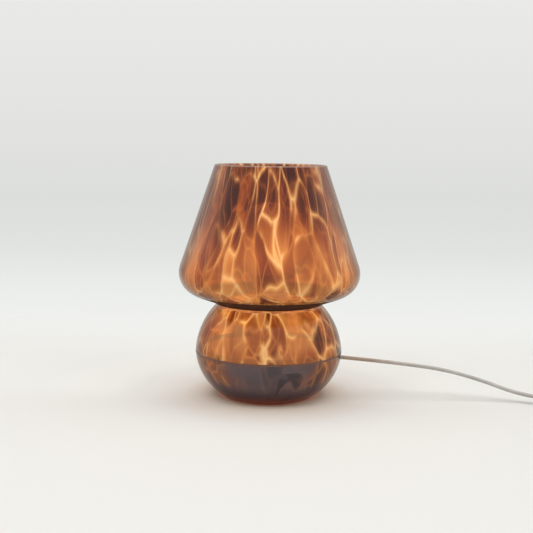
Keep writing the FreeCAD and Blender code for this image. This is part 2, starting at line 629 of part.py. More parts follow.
# ---- lampholder --------------------------------------------------------------------------------
def holder_cap():
    """Lower half of the lampholder: boss on the stem, rounded shoulder, straight side."""
    stem = STEM_DIAMETER / 2 + THREAD_CLEARANCE
    inner = HOLDER_RADIUS - HOLDER_WALL
    boss_top = HOLDER_BOTTOM + HOLDER_BOSS_HEIGHT
    shoulder = HOLDER_BOTTOM + HOLDER_SHOULDER_HEIGHT
    return revolve_polygon(
        (stem, HOLDER_BOTTOM), (HOLDER_BOSS_RADIUS, HOLDER_BOTTOM),
        (HOLDER_BOSS_RADIUS + HOLDER_WALL, boss_top - HOLDER_WALL),
        (HOLDER_RADIUS - HOLDER_WALL, shoulder - HOLDER_WALL), (HOLDER_RADIUS, shoulder),
        (HOLDER_RADIUS, HOLDER_JOINT), (inner, HOLDER_JOINT), (inner, shoulder),
        (HOLDER_BOSS_RADIUS + HOLDER_WALL / 2, boss_top), (stem, boss_top))


def holder_shell():
    """Upper half of the lampholder, with grip flutes and a drawn-in mouth."""
    inner = HOLDER_RADIUS - HOLDER_WALL
    taper_start = HOLDER_TOP - HOLDER_SHELL_HEIGHT / 3
    shell = revolve_polygon(
        (inner, HOLDER_JOINT), (HOLDER_RADIUS, HOLDER_JOINT), (HOLDER_RADIUS, taper_start),
        (HOLDER_LIP_RADIUS, HOLDER_TOP), (HOLDER_LIP_RADIUS - HOLDER_WALL, HOLDER_TOP), (inner, taper_start))
    low = HOLDER_JOINT + HOLDER_WALL
    flutes = []
    for i in range(GRIP_COUNT):
        x, y = polar((0, 0), HOLDER_RADIUS + GRIP_RADIUS / 2, 360.0 * i / GRIP_COUNT)
        flutes.append(cylinder(GRIP_RADIUS, low, low + GRIP_HEIGHT, x, y))
    return shell.cut(flutes)


def thread_contact_radius():
    return CAP_THREAD_RADIUS + THREAD_CONTACT_CLEARANCE


def terminal_places():
    return [(side * TERMINAL_RADIUS, 0.0) for side in (1, -1)]


def holder_insert():
    """Moulded core that carries the contacts, with a rim ledge between cap and shell."""
    core = cylinder(INSERT_RADIUS, INSERT_BOTTOM, INSERT_TOP)
    low = INSERT_TOP - INSERT_LEDGE
    recess = cylinder(thread_contact_radius() + THREAD_CONTACT_SHEET, low, INSERT_TOP + 1)
    core = core.cut(recess)
    slot = box(-CONTACT_STRIP_WIDTH, CONTACT_STRIP_WIDTH, -CONTACT_STRIP_WIDTH, CONTACT_STRIP_WIDTH,
               INSERT_BOTTOM - 1, low - CONTACT_STRIP_SHEET * 4)
    core = core.cut(slot)
    for x, y in terminal_places():
        core = core.cut(cylinder(TERMINAL_SCREW_DIAMETER / 2 + THREAD_CLEARANCE, INSERT_BOTTOM - 1,
                                 INSERT_BOTTOM + TERMINAL_SCREW_LENGTH, x, y))
    return core


def thread_contact():
    """Thin threaded shell that the bulb's cap screws into, on a floor with an opening for the tip contact."""
    inner = thread_contact_radius()
    outer = inner + THREAD_CONTACT_SHEET
    low = INSERT_TOP - INSERT_LEDGE
    opening = CONTACT_STRIP_WIDTH + CONTACT_STRIP_SHEET
    return revolve_polygon(
        (opening, low), (outer, low), (outer, low + THREAD_CONTACT_HEIGHT), (inner, low + THREAD_CONTACT_HEIGHT),
        (inner, low + THREAD_CONTACT_SHEET), (opening, low + THREAD_CONTACT_SHEET))


def centre_contact():
    """Spring strip: foot on the insert, sloping leg, flat pad under the bulb's tip."""
    foot = INSERT_TOP - INSERT_LEDGE
    pad = BULB_TIP
    sheet = CONTACT_STRIP_SHEET
    half = CONTACT_STRIP_WIDTH / 2
    corners = [(-half, foot), (half, foot), (half, foot + sheet), (sheet - half, foot + sheet),
               (half, pad - sheet), (half, pad), (-half, pad), (-half, pad - sheet),
               (half - 2 * sheet, pad - sheet), (-half, foot + 2 * sheet)]
    closed = corners + corners[:1]
    face = Part.Face(Part.makePolygon([V(x, -half, z) for x, z in closed]))
    return face.extrude(V(0, 2 * half, 0))


def terminal_screws():
    screws = []
    for x, y in terminal_places():
        head = cylinder(TERMINAL_HEAD_RADIUS, INSERT_BOTTOM - TERMINAL_HEAD_HEIGHT, INSERT_BOTTOM, x, y)
        shank = cylinder(TERMINAL_SCREW_DIAMETER / 2, INSERT_BOTTOM, INSERT_BOTTOM + TERMINAL_SCREW_LENGTH, x, y)
        screws.append(head.fuse(shank).removeSplitter())
    return group(screws)


# ---- bulb --------------------------------------------------------------------------------------
def bulb_globe():
    centre = (0, GLOBE_CENTRE_HEIGHT)
    inner = GLOBE_RADIUS - GLOBE_WALL
    inner_mouth = math.sqrt(inner ** 2 - (GLOBE_CENTRE_HEIGHT - GLOBE_MOUTH_HEIGHT) ** 2)
    outer_turn = direction(centre, (GLOBE_MOUTH_RADIUS, GLOBE_MOUTH_HEIGHT))
    inner_turn = direction(centre, (inner_mouth, GLOBE_MOUTH_HEIGHT))
    return revolve([
        arc(centre, GLOBE_RADIUS, 90, outer_turn),
        line((GLOBE_MOUTH_RADIUS, GLOBE_MOUTH_HEIGHT), (inner_mouth, GLOBE_MOUTH_HEIGHT)),
        arc(centre, inner, inner_turn, 90),
        line((0, GLOBE_CENTRE_HEIGHT + inner), (0, GLOBE_CENTRE_HEIGHT + GLOBE_RADIUS))])


def bulb_housing():
    """White neck of the bulb: seat on the cap, flare up to the globe, ledge for the light-source board."""
    low = HOLDER_TOP + HOUSING_GAP
    seat = CAP_THREAD_RADIUS - BULB_CAP_WALL
    top = GLOBE_MOUTH_RADIUS
    return revolve_polygon(
        (seat - HOUSING_WALL, HOLDER_TOP - HOUSING_WALL), (seat, HOLDER_TOP - HOUSING_WALL), (seat, HOLDER_TOP),
        (seat + HOUSING_WALL, low), (top, GLOBE_MOUTH_HEIGHT - HOUSING_WALL), (top, GLOBE_MOUTH_HEIGHT),
        (top - HOUSING_WALL, GLOBE_MOUTH_HEIGHT), (top - HOUSING_WALL, GLOBE_MOUTH_HEIGHT - HOUSING_WALL),
        (seat - HOUSING_WALL, low))


def bulb_cap():
    """Threaded metal cap, drawn in at the bottom where the insulator sits."""
    outer = CAP_THREAD_RADIUS
    inner = outer - BULB_CAP_WALL
    return revolve_polygon(
        (inner, BULB_CAP_TOP), (outer, BULB_CAP_TOP), (outer, BULB_CAP_BOTTOM + INSULATOR_HEIGHT),
        (outer - INSULATOR_HEIGHT, BULB_CAP_BOTTOM), (inner - INSULATOR_HEIGHT, BULB_CAP_BOTTOM),
        (inner, BULB_CAP_BOTTOM + INSULATOR_HEIGHT))


def bulb_insulator():
    top = CAP_THREAD_RADIUS - INSULATOR_HEIGHT
    low = BULB_CAP_BOTTOM - INSULATOR_HEIGHT
    return revolve_polygon((0, low), (BULB_TIP_RADIUS, low), (top, BULB_CAP_BOTTOM), (0, BULB_CAP_BOTTOM))


def bulb_tip_contact():
    top = BULB_TIP + BULB_TIP_HEIGHT
    taper = BULB_TIP_HEIGHT / 2
    return revolve_polygon((0, BULB_TIP), (BULB_TIP_RADIUS - taper, BULB_TIP), (BULB_TIP_RADIUS, BULB_TIP + taper),
                           (BULB_TIP_RADIUS, top), (0, top))


def led_board():
    """Round board with a ring of light sources, on the housing's ledge."""
    low = GLOBE_MOUTH_HEIGHT - HOUSING_WALL
    top = low + LED_BOARD_THICKNESS
    board = cylinder(LED_BOARD_RADIUS, low, top)
    chips = []
    for i in range(LED_COUNT):
        x, y = polar((0, 0), LED_CIRCLE, 360.0 * i / LED_COUNT)
        half = LED_SIZE / 2
        chips.append(box(x - half, x + half, y - half, y + half, top, top + LED_HEIGHT))
    return board.fuse(chips).removeSplitter()


def driver_board():
    half = DRIVER_WIDTH / 2
    return box(-half, half, -DRIVER_THICKNESS / 2, DRIVER_THICKNESS / 2, BULB_CAP_BOTTOM,
               GLOBE_MOUTH_HEIGHT - HOUSING_WALL)


# ---- cord inside the lamp ----------------------------------------------------------------------
def cord_exit():
    """Distance from the axis of the end of the cord's inner run."""
    return SEAM_RADIUS + CORD_EXIT_OUTSTAND


def cord_grommet():
    """Rubber bush in the bowl's notch: body, inner flange and the cord's bore."""
    inner_wall = bowl_radius(CORD_EXIT_Z, GLASS_WALL)
    body = cord_slot(NOTCH_RADIUS - GROMMET_CLEARANCE, inner_wall - GROMMET_FLANGE, SEAM_RADIUS - GROMMET_SETBACK)
    flange = cord_slot(NOTCH_RADIUS + GROMMET_FLANGE, inner_wall - 2 * GROMMET_FLANGE, inner_wall - GROMMET_FLANGE)
    below_rim = box(0, SHADE_RADIUS, -SHADE_RADIUS, SHADE_RADIUS, 0, BOWL_RIM)
    bore = Part.makeCylinder(CORD_RADIUS, SHADE_RADIUS, V(0, 0, CORD_EXIT_Z), V(1, 0, 0))
    return towards_cord(body.fuse(flange).common(below_rim).cut(bore))


def cord_inner():
    """Cord from the notch down into the weight's channel and up through the stem."""
    run = CHANNEL_FLOOR + CORD_CHANNEL_LIFT
    bend = bowl_radius(CORD_EXIT_Z, GLASS_WALL) - 2 * GROMMET_FLANGE
    points = [V(cord_exit(), 0, CORD_EXIT_Z), V(bend, 0, CORD_EXIT_Z), V(WEIGHT_RADIUS, 0, run), V(0, 0, run),
              V(0, 0, STEM_TOP)]
    wire = rounded_wire(points, [CORD_INNER_BEND, CORD_INNER_BEND, CORD_STEM_BEND])
    return towards_cord(tube(wire, CORD_DIAMETER))


def lead_wires():
    """Two cores from the stem's top to the terminal screws' heads."""
    wires = []
    landing = INSERT_BOTTOM - TERMINAL_HEAD_HEIGHT - WIRE_DIAMETER / 2
    for side in (1, -1):
        points = [V(side * WIRE_SPREAD, 0, STEM_TOP), V(side * WIRE_SPREAD, 0, landing - WIRE_DIAMETER),
                  V(side * (TERMINAL_RADIUS + TERMINAL_HEAD_RADIUS), 0, landing)]
        wires.append(tube(rounded_wire(points, [WIRE_DIAMETER]), WIRE_DIAMETER))
    return group(wires)


def cord_clamp():
    """Strain-relief plate across the cord's channel, in a pocket of the weight."""
    low = clamp_seat_height()
    plate = box(CLAMP_RADIUS_OUT - CLAMP_WIDTH / 2, CLAMP_RADIUS_OUT + CLAMP_WIDTH / 2,
                -CLAMP_LENGTH / 2, CLAMP_LENGTH / 2, low, low + CLAMP_SHEET)
    plate = towards_cord(plate)
    for place in clamp_screw_places():
        plate = plate.cut(cylinder(CLAMP_SCREW_DIAMETER / 2 + THREAD_CLEARANCE, 0, LAMP_HEIGHT, place.x, place.y))
    return plate


def cord_clamp_screws():
    seat = clamp_seat_height() + CLAMP_SHEET
    return group([screw(CLAMP_SCREW_DIAMETER, CLAMP_SCREW_LENGTH, CLAMP_SCREW_HEAD_RADIUS,
                        CLAMP_SCREW_HEAD_HEIGHT, place.x, place.y, seat) for place in clamp_screw_places()])


# ---- inline switch -----------------------------------------------------------------------------
def switch_middle():
    return V(SWITCH_START_X + SWITCH_LENGTH / 2, SWITCH_Y, 0)


def pill(length, width, corner, low, high):
    """Block with rounded upright corners, centred on the switch."""
    centre = switch_middle()
    block = box(centre.x - length / 2, centre.x + length / 2, centre.y - width / 2, centre.y + width / 2, low, high)
    upright = [edge for edge in block.Edges if edge.BoundBox.ZLength > (high - low) / 2]
    return block.makeFillet(corner, upright)


def soften(block, height):
    """Round the horizontal edges that lie at a height."""
    level = [edge for edge in block.Edges
             if abs(edge.BoundBox.ZMin - height) < 0.01 and abs(edge.BoundBox.ZMax - height) < 0.01]
    return block.makeFillet(SWITCH_EDGE, level)


def switch_cavity(low, high):
    return pill(SWITCH_LENGTH - 2 * SWITCH_WALL, SWITCH_WIDTH - 2 * SWITCH_WALL, SWITCH_CORNER - SWITCH_WALL, low, high)


def cord_bore():
    return Part.makeCylinder(CORD_RADIUS, SWITCH_LENGTH + 2, V(SWITCH_START_X - 1, SWITCH_Y, SWITCH_PART_HEIGHT),
                             V(1, 0, 0))


def switch_screw_places():
    centre = switch_middle()
    return [(centre.x + side * SWITCH_SCREW_SPACING / 2, centre.y - SWITCH_WIDTH / 4) for side in (1, -1)]


def rocker_pivot():
    centre = switch_middle()
    return V(centre.x, centre.y, SWITCH_HEIGHT - ROCKER_PIVOT_DEPTH)


def switch_lower_shell():
    shell = soften(pill(SWITCH_LENGTH, SWITCH_WIDTH, SWITCH_CORNER, 0, SWITCH_PART_HEIGHT), 0)
    shell = shell.cut(switch_cavity(SWITCH_WALL, SWITCH_PART_HEIGHT + 1)).cut(cord_bore())
    for x, y in switch_screw_places():
        post = cylinder(SWITCH_SCREW_HEAD_RADIUS + SWITCH_WALL / 2, 0, SWITCH_PART_HEIGHT, x, y)
        head = cylinder(SWITCH_SCREW_HEAD_RADIUS + THREAD_CLEARANCE, -1, SWITCH_SCREW_HEAD_HEIGHT, x, y)
        hole = cylinder(SWITCH_SCREW_DIAMETER / 2 + THREAD_CLEARANCE, -1, SWITCH_HEIGHT, x, y)
        shell = shell.fuse(post).cut(head).cut(hole)
    return shell.removeSplitter()


def switch_upper_shell():
    shell = soften(pill(SWITCH_LENGTH, SWITCH_WIDTH, SWITCH_CORNER, SWITCH_PART_HEIGHT, SWITCH_HEIGHT), SWITCH_HEIGHT)
    shell = shell.cut(switch_cavity(SWITCH_PART_HEIGHT - 1, SWITCH_HEIGHT - SWITCH_WALL)).cut(cord_bore())
    pivot = rocker_pivot()
    window_x = ROCKER_LENGTH / 2 + ROCKER_GAP
    window_y = ROCKER_WIDTH / 2 + ROCKER_GAP / 2
    window = box(pivot.x - window_x, pivot.x + window_x, pivot.y - window_y, pivot.y + window_y,
                 SWITCH_PART_HEIGHT - 1, SWITCH_HEIGHT + 1)
    posts = []
    for side in (1, -1):
        near = window_y * side
        far = (window_y + PIVOT_POST_THICKNESS) * side
        post = box(pivot.x - PIVOT_POST_THICKNESS, pivot.x + PIVOT_POST_THICKNESS,
                   pivot.y + min(near, far), pivot.y + max(near, far), SWITCH_PART_HEIGHT, SWITCH_HEIGHT - SWITCH_WALL)
        posts.append(post)
    for x, y in switch_screw_places():
        posts.append(cylinder(SWITCH_SCREW_HEAD_RADIUS, SWITCH_PART_HEIGHT, SWITCH_HEIGHT - SWITCH_WALL, x, y))
    shell = shell.fuse(posts).cut(window)
    for x, y in switch_screw_places():
        shell = shell.cut(cylinder(SWITCH_SCREW_DIAMETER / 2 + THREAD_CLEARANCE, 0, SWITCH_HEIGHT - SWITCH_WALL, x, y))
    reach = ROCKER_WIDTH / 2 + ROCKER_PIVOT_LENGTH + PIVOT_CLEARANCE
    bush = Part.makeCylinder(ROCKER_PIVOT_RADIUS + PIVOT_CLEARANCE / 4, 2 * reach, V(pivot.x, pivot.y - reach, pivot.z),
                             V(0, 1, 0))
    return shell.cut(bush).removeSplitter()


def switch_rocker():
    """Two-way rocker with a shallow V top and pivot stubs, tilted to its ON side at rest."""
    pivot = rocker_pivot()
    half = ROCKER_LENGTH / 2
    middle = ROCKER_PIVOT_DEPTH - ROCKER_CROWN / 2
    corners = [(-half, ROCKER_CROWN / 2 + middle), (0, middle), (half, ROCKER_CROWN / 2 + middle),
               (half - ROCKER_GAP, 0), (ROCKER_PIVOT_RADIUS, -ROCKER_PIVOT_RADIUS),
               (-ROCKER_PIVOT_RADIUS, -ROCKER_PIVOT_RADIUS), (ROCKER_GAP - half, 0)]
    closed = corners + corners[:1]
    outline = Part.makePolygon([V(pivot.x + x, pivot.y - ROCKER_WIDTH / 2, pivot.z + z) for x, z in closed])
    body = Part.Face(outline).extrude(V(0, ROCKER_WIDTH, 0))
    reach = ROCKER_WIDTH / 2 + ROCKER_PIVOT_LENGTH
    stubs = Part.makeCylinder(ROCKER_PIVOT_RADIUS, 2 * reach, V(pivot.x, pivot.y - reach, pivot.z), V(0, 1, 0))
    return turned(body.fuse(stubs).removeSplitter(), ROCKER_TILT, pivot, V(0, 1, 0))


def switch_contacts():
    """Two bent brass strips, one at each cord end, standing on the lower shell's floor."""
    centre = switch_middle()
    strips = []
    for side in (1, -1):
        x = centre.x + side * CONTACT_SPACING / 2
        y = centre.y + SWITCH_WIDTH / 4
        low = SWITCH_WALL
        flat = box(x - CONTACT_LENGTH / 2, x + CONTACT_LENGTH / 2, y - CONTACT_WIDTH / 2, y + CONTACT_WIDTH / 2,
                   low, low + CONTACT_SHEET)
        upright = box(x - CONTACT_SHEET / 2, x + CONTACT_SHEET / 2, y - CONTACT_WIDTH / 2, y + CONTACT_WIDTH / 2,
                      low, SWITCH_PART_HEIGHT - CONTACT_SHEET)
        strips.append(flat.fuse(upright).removeSplitter())
    return group(strips)


def switch_screws():
    screws = []
    top = SWITCH_HEIGHT - SWITCH_WALL - SWITCH_SCREW_DIAMETER
    for x, y in switch_screw_places():
        head = cylinder(SWITCH_SCREW_HEAD_RADIUS, SWITCH_SCREW_HEAD_HEIGHT / 4, SWITCH_SCREW_HEAD_HEIGHT, x, y)
        screws.append(head.fuse(cylinder(SWITCH_SCREW_DIAMETER / 2, SWITCH_SCREW_HEAD_HEIGHT, top, x, y)))
    return group([screw_solid.removeSplitter() for screw_solid in screws])


# ---- coil --------------------------------------------------------------------------------------
def coil_nodes():
    """Ends of the half turns: spiral in on the floor, change layer, spiral out above."""
    step = COIL_PITCH / 2
    inward = [COIL_OUTER_RADIUS - step * i for i in range(COIL_HALF_TURNS + 1)]
    radii = inward + inward[:0:-1]
    nodes = []
    for i, radius in enumerate(radii):
        side = 1 if i % 2 == 0 else -1
        layer = 0 if i <= COIL_HALF_TURNS else COIL_LAYER_RISE
        nodes.append(V(COIL_CENTRE_X + side * radius, COIL_CENTRE_Y, FLOOR_LIFT + layer))
    return nodes


def coil_wire():
    """Straight lead-in, half turns as pairs of quarter arcs, straight lead-out, all tangent."""
    nodes = coil_nodes()
    lead = V(0, RUN_B_POINTS[-1][1] - COIL_CENTRE_Y, 0)
    lead_out = V(0, RUN_C_POINTS[0][1] - COIL_CENTRE_Y, 0)
    edges = [Part.LineSegment(nodes[0] + lead, nodes[0]).toShape()]
    for i in range(len(nodes) - 1):
        start = nodes[i]
        end = nodes[i + 1]
        heading = V(0, 1 if i % 2 == 0 else -1, 0)
        centre = (start + end) * 0.5
        radius = (end - start).Length / 2
        top = centre + heading * radius
        spoke = (start - centre).normalize()
        diagonal = radius / math.sqrt(2)
        edges.append(Part.Arc(start, centre + (spoke + heading) * diagonal, top).toShape())
        edges.append(Part.Arc(top, centre + (heading - spoke) * diagonal, end).toShape())
    edges.append(Part.LineSegment(nodes[-1], nodes[-1] + lead_out).toShape())
    return Part.Wire(edges)


def print_coil_gap(wire):
    """Least gap between turns, measured on points along the centre line."""
    points = wire.discretize(Distance=2.0)
    skip = int(6 * CORD_DIAMETER / 2.0)
    least = min(a.distanceToPoint(b) for i, a in enumerate(points) for b in points[i + skip:])
    print("coil length %.1f" % wire.Length, "least gap to itself %.2f" % (least - CORD_DIAMETER))


def cord_coil():
    wire = coil_wire()
    print_coil_gap(wire)
    solid = tube(wire, CORD_DIAMETER)
    print("coil volume share %.3f" % (solid.Volume / (math.pi * CORD_RADIUS ** 2 * wire.Length)))
    return solid


# ---- plug --------------------------------------------------------------------------------------
def rounded_section(y, width, thickness):
    """Upright rounded rectangle across the plug's axis."""
    corner = PLUG_CORNER_SHARE * thickness
    half_w = width / 2
    half_t = thickness / 2
    edges = []
    corners = [(1, 1, 0), (-1, 1, 90), (-1, -1, 180), (1, -1, 270)]
    points = []
    for sx, sz, start in corners:
        cx = PLUG_X + sx * (half_w - corner)
        cz = PLUG_AXIS_HEIGHT + sz * (half_t - corner)
        ring = [polar((cx, cz), corner, angle) for angle in (start, start + 45, start + 90)]
        points.append([V(p[0], y, p[1]) for p in ring])
    for i, ring in enumerate(points):
        edges.append(Part.Arc(*ring).toShape())
        edges.append(Part.LineSegment(ring[2], points[(i + 1) % 4][0]).toShape())
    return Part.Wire(edges)


def pin_places():
    return [PLUG_X + side * PIN_SPACING / 2 for side in (1, -1)]


def plug_body():
    """Flat two-pin plug: cord spout, waisted grip, pin face."""
    face = PLUG_Y + PLUG_LENGTH
    sections = [
        rounded_section(PLUG_Y, PLUG_TAIL_WIDTH, PLUG_TAIL_THICKNESS),
        rounded_section(PLUG_Y + PLUG_TAIL_LENGTH, PLUG_TAIL_WIDTH, PLUG_TAIL_THICKNESS),
        rounded_section(PLUG_Y + PLUG_LENGTH / 2, PLUG_WAIST_WIDTH, PLUG_THICKNESS),
        rounded_section(face, PLUG_WIDTH, PLUG_THICKNESS),
    ]
    body = Part.makeLoft(sections, True, True)
    sleeve_end = face + PIN_LENGTH - PIN_BARE_LENGTH
    for x in pin_places():
        body = body.fuse(along_plug(PIN_DIAMETER, x, face - PIN_ANCHOR, sleeve_end))
        body = body.cut(along_plug(PIN_CORE_DIAMETER, x, face - PIN_ANCHOR, sleeve_end + 1))
    return body.cut(along_plug(CORD_DIAMETER, PLUG_X, PLUG_Y - 1, PLUG_Y + PLUG_CORD_BORE)).removeSplitter()


def along_plug(diameter, x, y_low, y_high):
    return Part.makeCylinder(diameter / 2, y_high - y_low, V(x, y_low, PLUG_AXIS_HEIGHT), V(0, 1, 0))


def plug_pins():
    face = PLUG_Y + PLUG_LENGTH
    bare = face + PIN_LENGTH - PIN_BARE_LENGTH
    pins = []
    for x in pin_places():
        end = along_plug(PIN_DIAMETER, x, bare, face + PIN_LENGTH)
        tip = [edge for edge in end.Edges if edge.Closed and edge.BoundBox.YMin > bare + 1]
        end = end.makeChamfer(PIN_DIAMETER / 5, tip)
        core = along_plug(PIN_CORE_DIAMETER, x, face - PIN_ANCHOR, bare)
        pins.append(end.fuse(core).removeSplitter())
    return group(pins)


# ---- all pieces --------------------------------------------------------------------------------
def pieces():
    rubber, steel = bottom_washers()
    return {
        "glass_shade": glass_shade(),
        "glass_bowl": glass_bowl(),
        "upper_gasket": upper_gasket(),
        "lower_gasket": lower_gasket(),
        "tray": tray(),
        "ballast_weight": ballast_weight(),
        "ballast_pad": ballast_pad(),
        "bottom_bolt": bottom_bolt(),
        "bottom_steel_washer": steel,
        "bottom_rubber_washer": rubber,
        "tray_screws": tray_screws(),
        "foot_ring": foot_ring(),
        "stem_tube": stem_tube(),
        "stem_lower_nut": stem_nut(WEIGHT_TOP - STEM_NUT_HEIGHT),
        "stem_washer": stem_washer(),
        "stem_upper_nut": stem_nut(TRAY_FLOOR_TOP + STEM_WASHER_THICKNESS),
        "holder_locknut": stem_nut(HOLDER_BOTTOM - STEM_NUT_HEIGHT),
        "holder_cap": holder_cap(),
        "holder_shell": holder_shell(),
        "holder_insert": holder_insert(),
        "thread_contact": thread_contact(),
        "centre_contact": centre_contact(),
        "terminal_screws": terminal_screws(),
        "bulb_globe": bulb_globe(),
        "bulb_housing": bulb_housing(),
        "bulb_cap": bulb_cap(),
        "bulb_insulator": bulb_insulator(),
        "bulb_tip_contact": bulb_tip_contact(),
        "led_board": led_board(),
        "driver_board": driver_board(),
        "cord_grommet": cord_grommet(),
        "cord_clamp": cord_clamp(),
        "cord_clamp_screws": cord_clamp_screws(),
        "cord_inner": cord_inner(),
        "lead_wires": lead_wires(),
        "cord_run_a": free_stretch("cord_run_a", RUN_A_POINTS),
        "switch_lower_shell": switch_lower_shell(),
        "switch_upper_shell": switch_upper_shell(),
        "switch_rocker": switch_rocker(),
        "switch_contacts": switch_contacts(),
        "switch_screws": switch_screws(),
        "cord_run_b": free_stretch("cord_run_b", RUN_B_POINTS),
        "cord_coil": cord_coil(),
        "cord_run_c": free_stretch("cord_run_c", RUN_C_POINTS),
        "plug_body": plug_body(),
        "plug_pins": plug_pins(),
    }


os.makedirs("parts", exist_ok=True)
for name, shape in pieces().items():
    shape.exportStep("parts/" + name + ".step")
    print(name, len(shape.Solids), "solid(s), valid", shape.isValid())
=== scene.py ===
"""Looks of the mushroom table lamp: materials, cord, floor, light and camera, in metres from its foot."""
import math

import bpy
from mathutils import Matrix, Vector


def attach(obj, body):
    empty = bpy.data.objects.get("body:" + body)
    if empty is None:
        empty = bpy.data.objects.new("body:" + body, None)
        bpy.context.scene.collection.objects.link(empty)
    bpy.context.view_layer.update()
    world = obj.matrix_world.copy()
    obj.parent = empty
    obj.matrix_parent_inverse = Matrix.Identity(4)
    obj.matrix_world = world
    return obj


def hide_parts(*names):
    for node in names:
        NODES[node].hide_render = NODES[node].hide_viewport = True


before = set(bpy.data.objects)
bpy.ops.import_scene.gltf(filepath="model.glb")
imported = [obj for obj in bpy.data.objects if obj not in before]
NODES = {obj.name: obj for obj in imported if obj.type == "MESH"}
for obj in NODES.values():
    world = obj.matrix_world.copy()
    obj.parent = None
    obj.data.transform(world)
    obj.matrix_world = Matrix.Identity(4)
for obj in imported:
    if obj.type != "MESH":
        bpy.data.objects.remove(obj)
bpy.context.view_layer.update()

# ---- camera, fitted to the photograph ----------------------------------------------------------------
CAMERA_PLACE = (-0.0022, -1.0004, 0.2644)
CAMERA_PITCH = 0.1277
CAMERA_ROLL = 0.0126
FRAME_PIXELS = 533
FOCAL_PIXELS = 969.4
CENTRE_OFFSET = (1.0, 1.5)

# ---- light -------------------------------------------------------------------------------------------
WALL_LIGHT = 1.25
FRONT_LIGHT = 0.12
FRONT_FADE = (-0.52, -0.59)
FRONT_SKEW = 0.10
CEILING_LIGHT = 0.15
CEILING_FADE = (0.62, 0.8)
BACKDROP_SPAN = 2.3
BACKDROP_BEGINS = (0.15, 0.45)
FLOOR_FADES = (0.8, 1.6)
SEEN_BACKGROUND = 0.88

# ---- glass -------------------------------------------------------------------------------------------
WAIST = 0.0985
CELLS_ROUND_SHADE = 36.0
CELLS_ROUND_BASE = 25.0
CELLS_UP_SHADE = 18.0
CELLS_UP_BASE = 28.0
CELLS_BENEATH = 85.0
UNDERSIDE_EDGE = 0.093
BENEATH_FADES = ((0.126, 0.108), (0.094, 0.099))
ROUND_FADE = (0.097, 0.101)
# painted shade: the shade glass glows darker and redder towards its top, away from the bulb
TOP_SHADE_FADE = (0.150, 0.205)
CONTRAST_FADE = (0.124, 0.112)
# painted shade: the glass in the waist's crease is painted nearly black, in its glow and its see-through
# colour alike
WAIST_SHADE_FADES = ((0.1077, 0.1071), (0.0965, 0.0975))
# painted shade: darker glass just above the seam, over the tray
SEAM_SHADE_FADE = (0.066, 0.052)
# painted reflection: a pale veil of the bright surroundings on the shade's grazed sides, from mid height up
SIDE_REFLECTION_FADE = (0.125, 0.165)
# painted highlight: a pale line along the top of the rim
RIM_HIGHLIGHT_FADE = (0.2380, 0.2392)
# painted light: an orange glow on the bowl's grazed sides, fading out towards its bottom
BOWL_SIDE_LIGHT_FADE = (0.012, 0.036)
# painted shade: the bowl's glass is darker still towards its bottom
BOWL_BOTTOM_SHADE_FADE = (0.024, 0.008)
# painted glow: a red-orange line of light along the foot's lower edge
FOOT_GLOW_FADE = (0.0045, 0.0020)
CELL_SEED = 3.7
TRAY_EDGE_FADE = (0.0730, 0.0745)
# share and strength of the glass's painted glow, emitted light standing in for the bulb's light in the glass
GLASS_BODY = 0.36
GLASS_GLOW = 1.3
MIRROR_STRAIGHT = 0.025
MIRROR_GRAZED = 0.7

# ---- cord --------------------------------------------------------------------------------------------
CORD_WIDTH = 0.0050
CORD_THICKNESS = 0.0030
UPPER_LAYER = 0.0052
FLOOR_LAYER = 0.0019
FIRST_STRETCH = [
    (0.07668, -0.00806, 0.0408), (0.108, -0.0113, 0.0388), (0.146, -0.0135, 0.0353), (0.184, -0.0155, 0.0305),
    (0.220, -0.0185, 0.0212), (0.251, -0.0255, 0.0108), (0.278, -0.035, 0.007), (0.299, -0.035, 0.007),
]
SECOND_STRETCH = [
    (0.355, -0.035, 0.007), (0.369, -0.035, 0.007), (0.3825, -0.0285, 0.005), (0.3912, -0.0155, 0.0028),
    (0.3932, 0.0025, 0.0018), (0.39195, 0.017, FLOOR_LAYER), (0.39195, 0.026, FLOOR_LAYER),
    (0.39195, 0.036, FLOOR_LAYER),
]
LAST_STRETCH = [
    (0.3891, 0.060, UPPER_LAYER), (0.3893, 0.075, 0.0056), (0.394, 0.091, 0.006),
    (0.397, 0.107, 0.007), (0.397, 0.1235, 0.007),
]
COIL_CENTRE = (0.351, 0.046)
COIL_RADIUS = 0.04095
COIL_STEP = 0.00285
COIL_HALF_TURNS = 7
POINTS_PER_HALF_TURN = 8


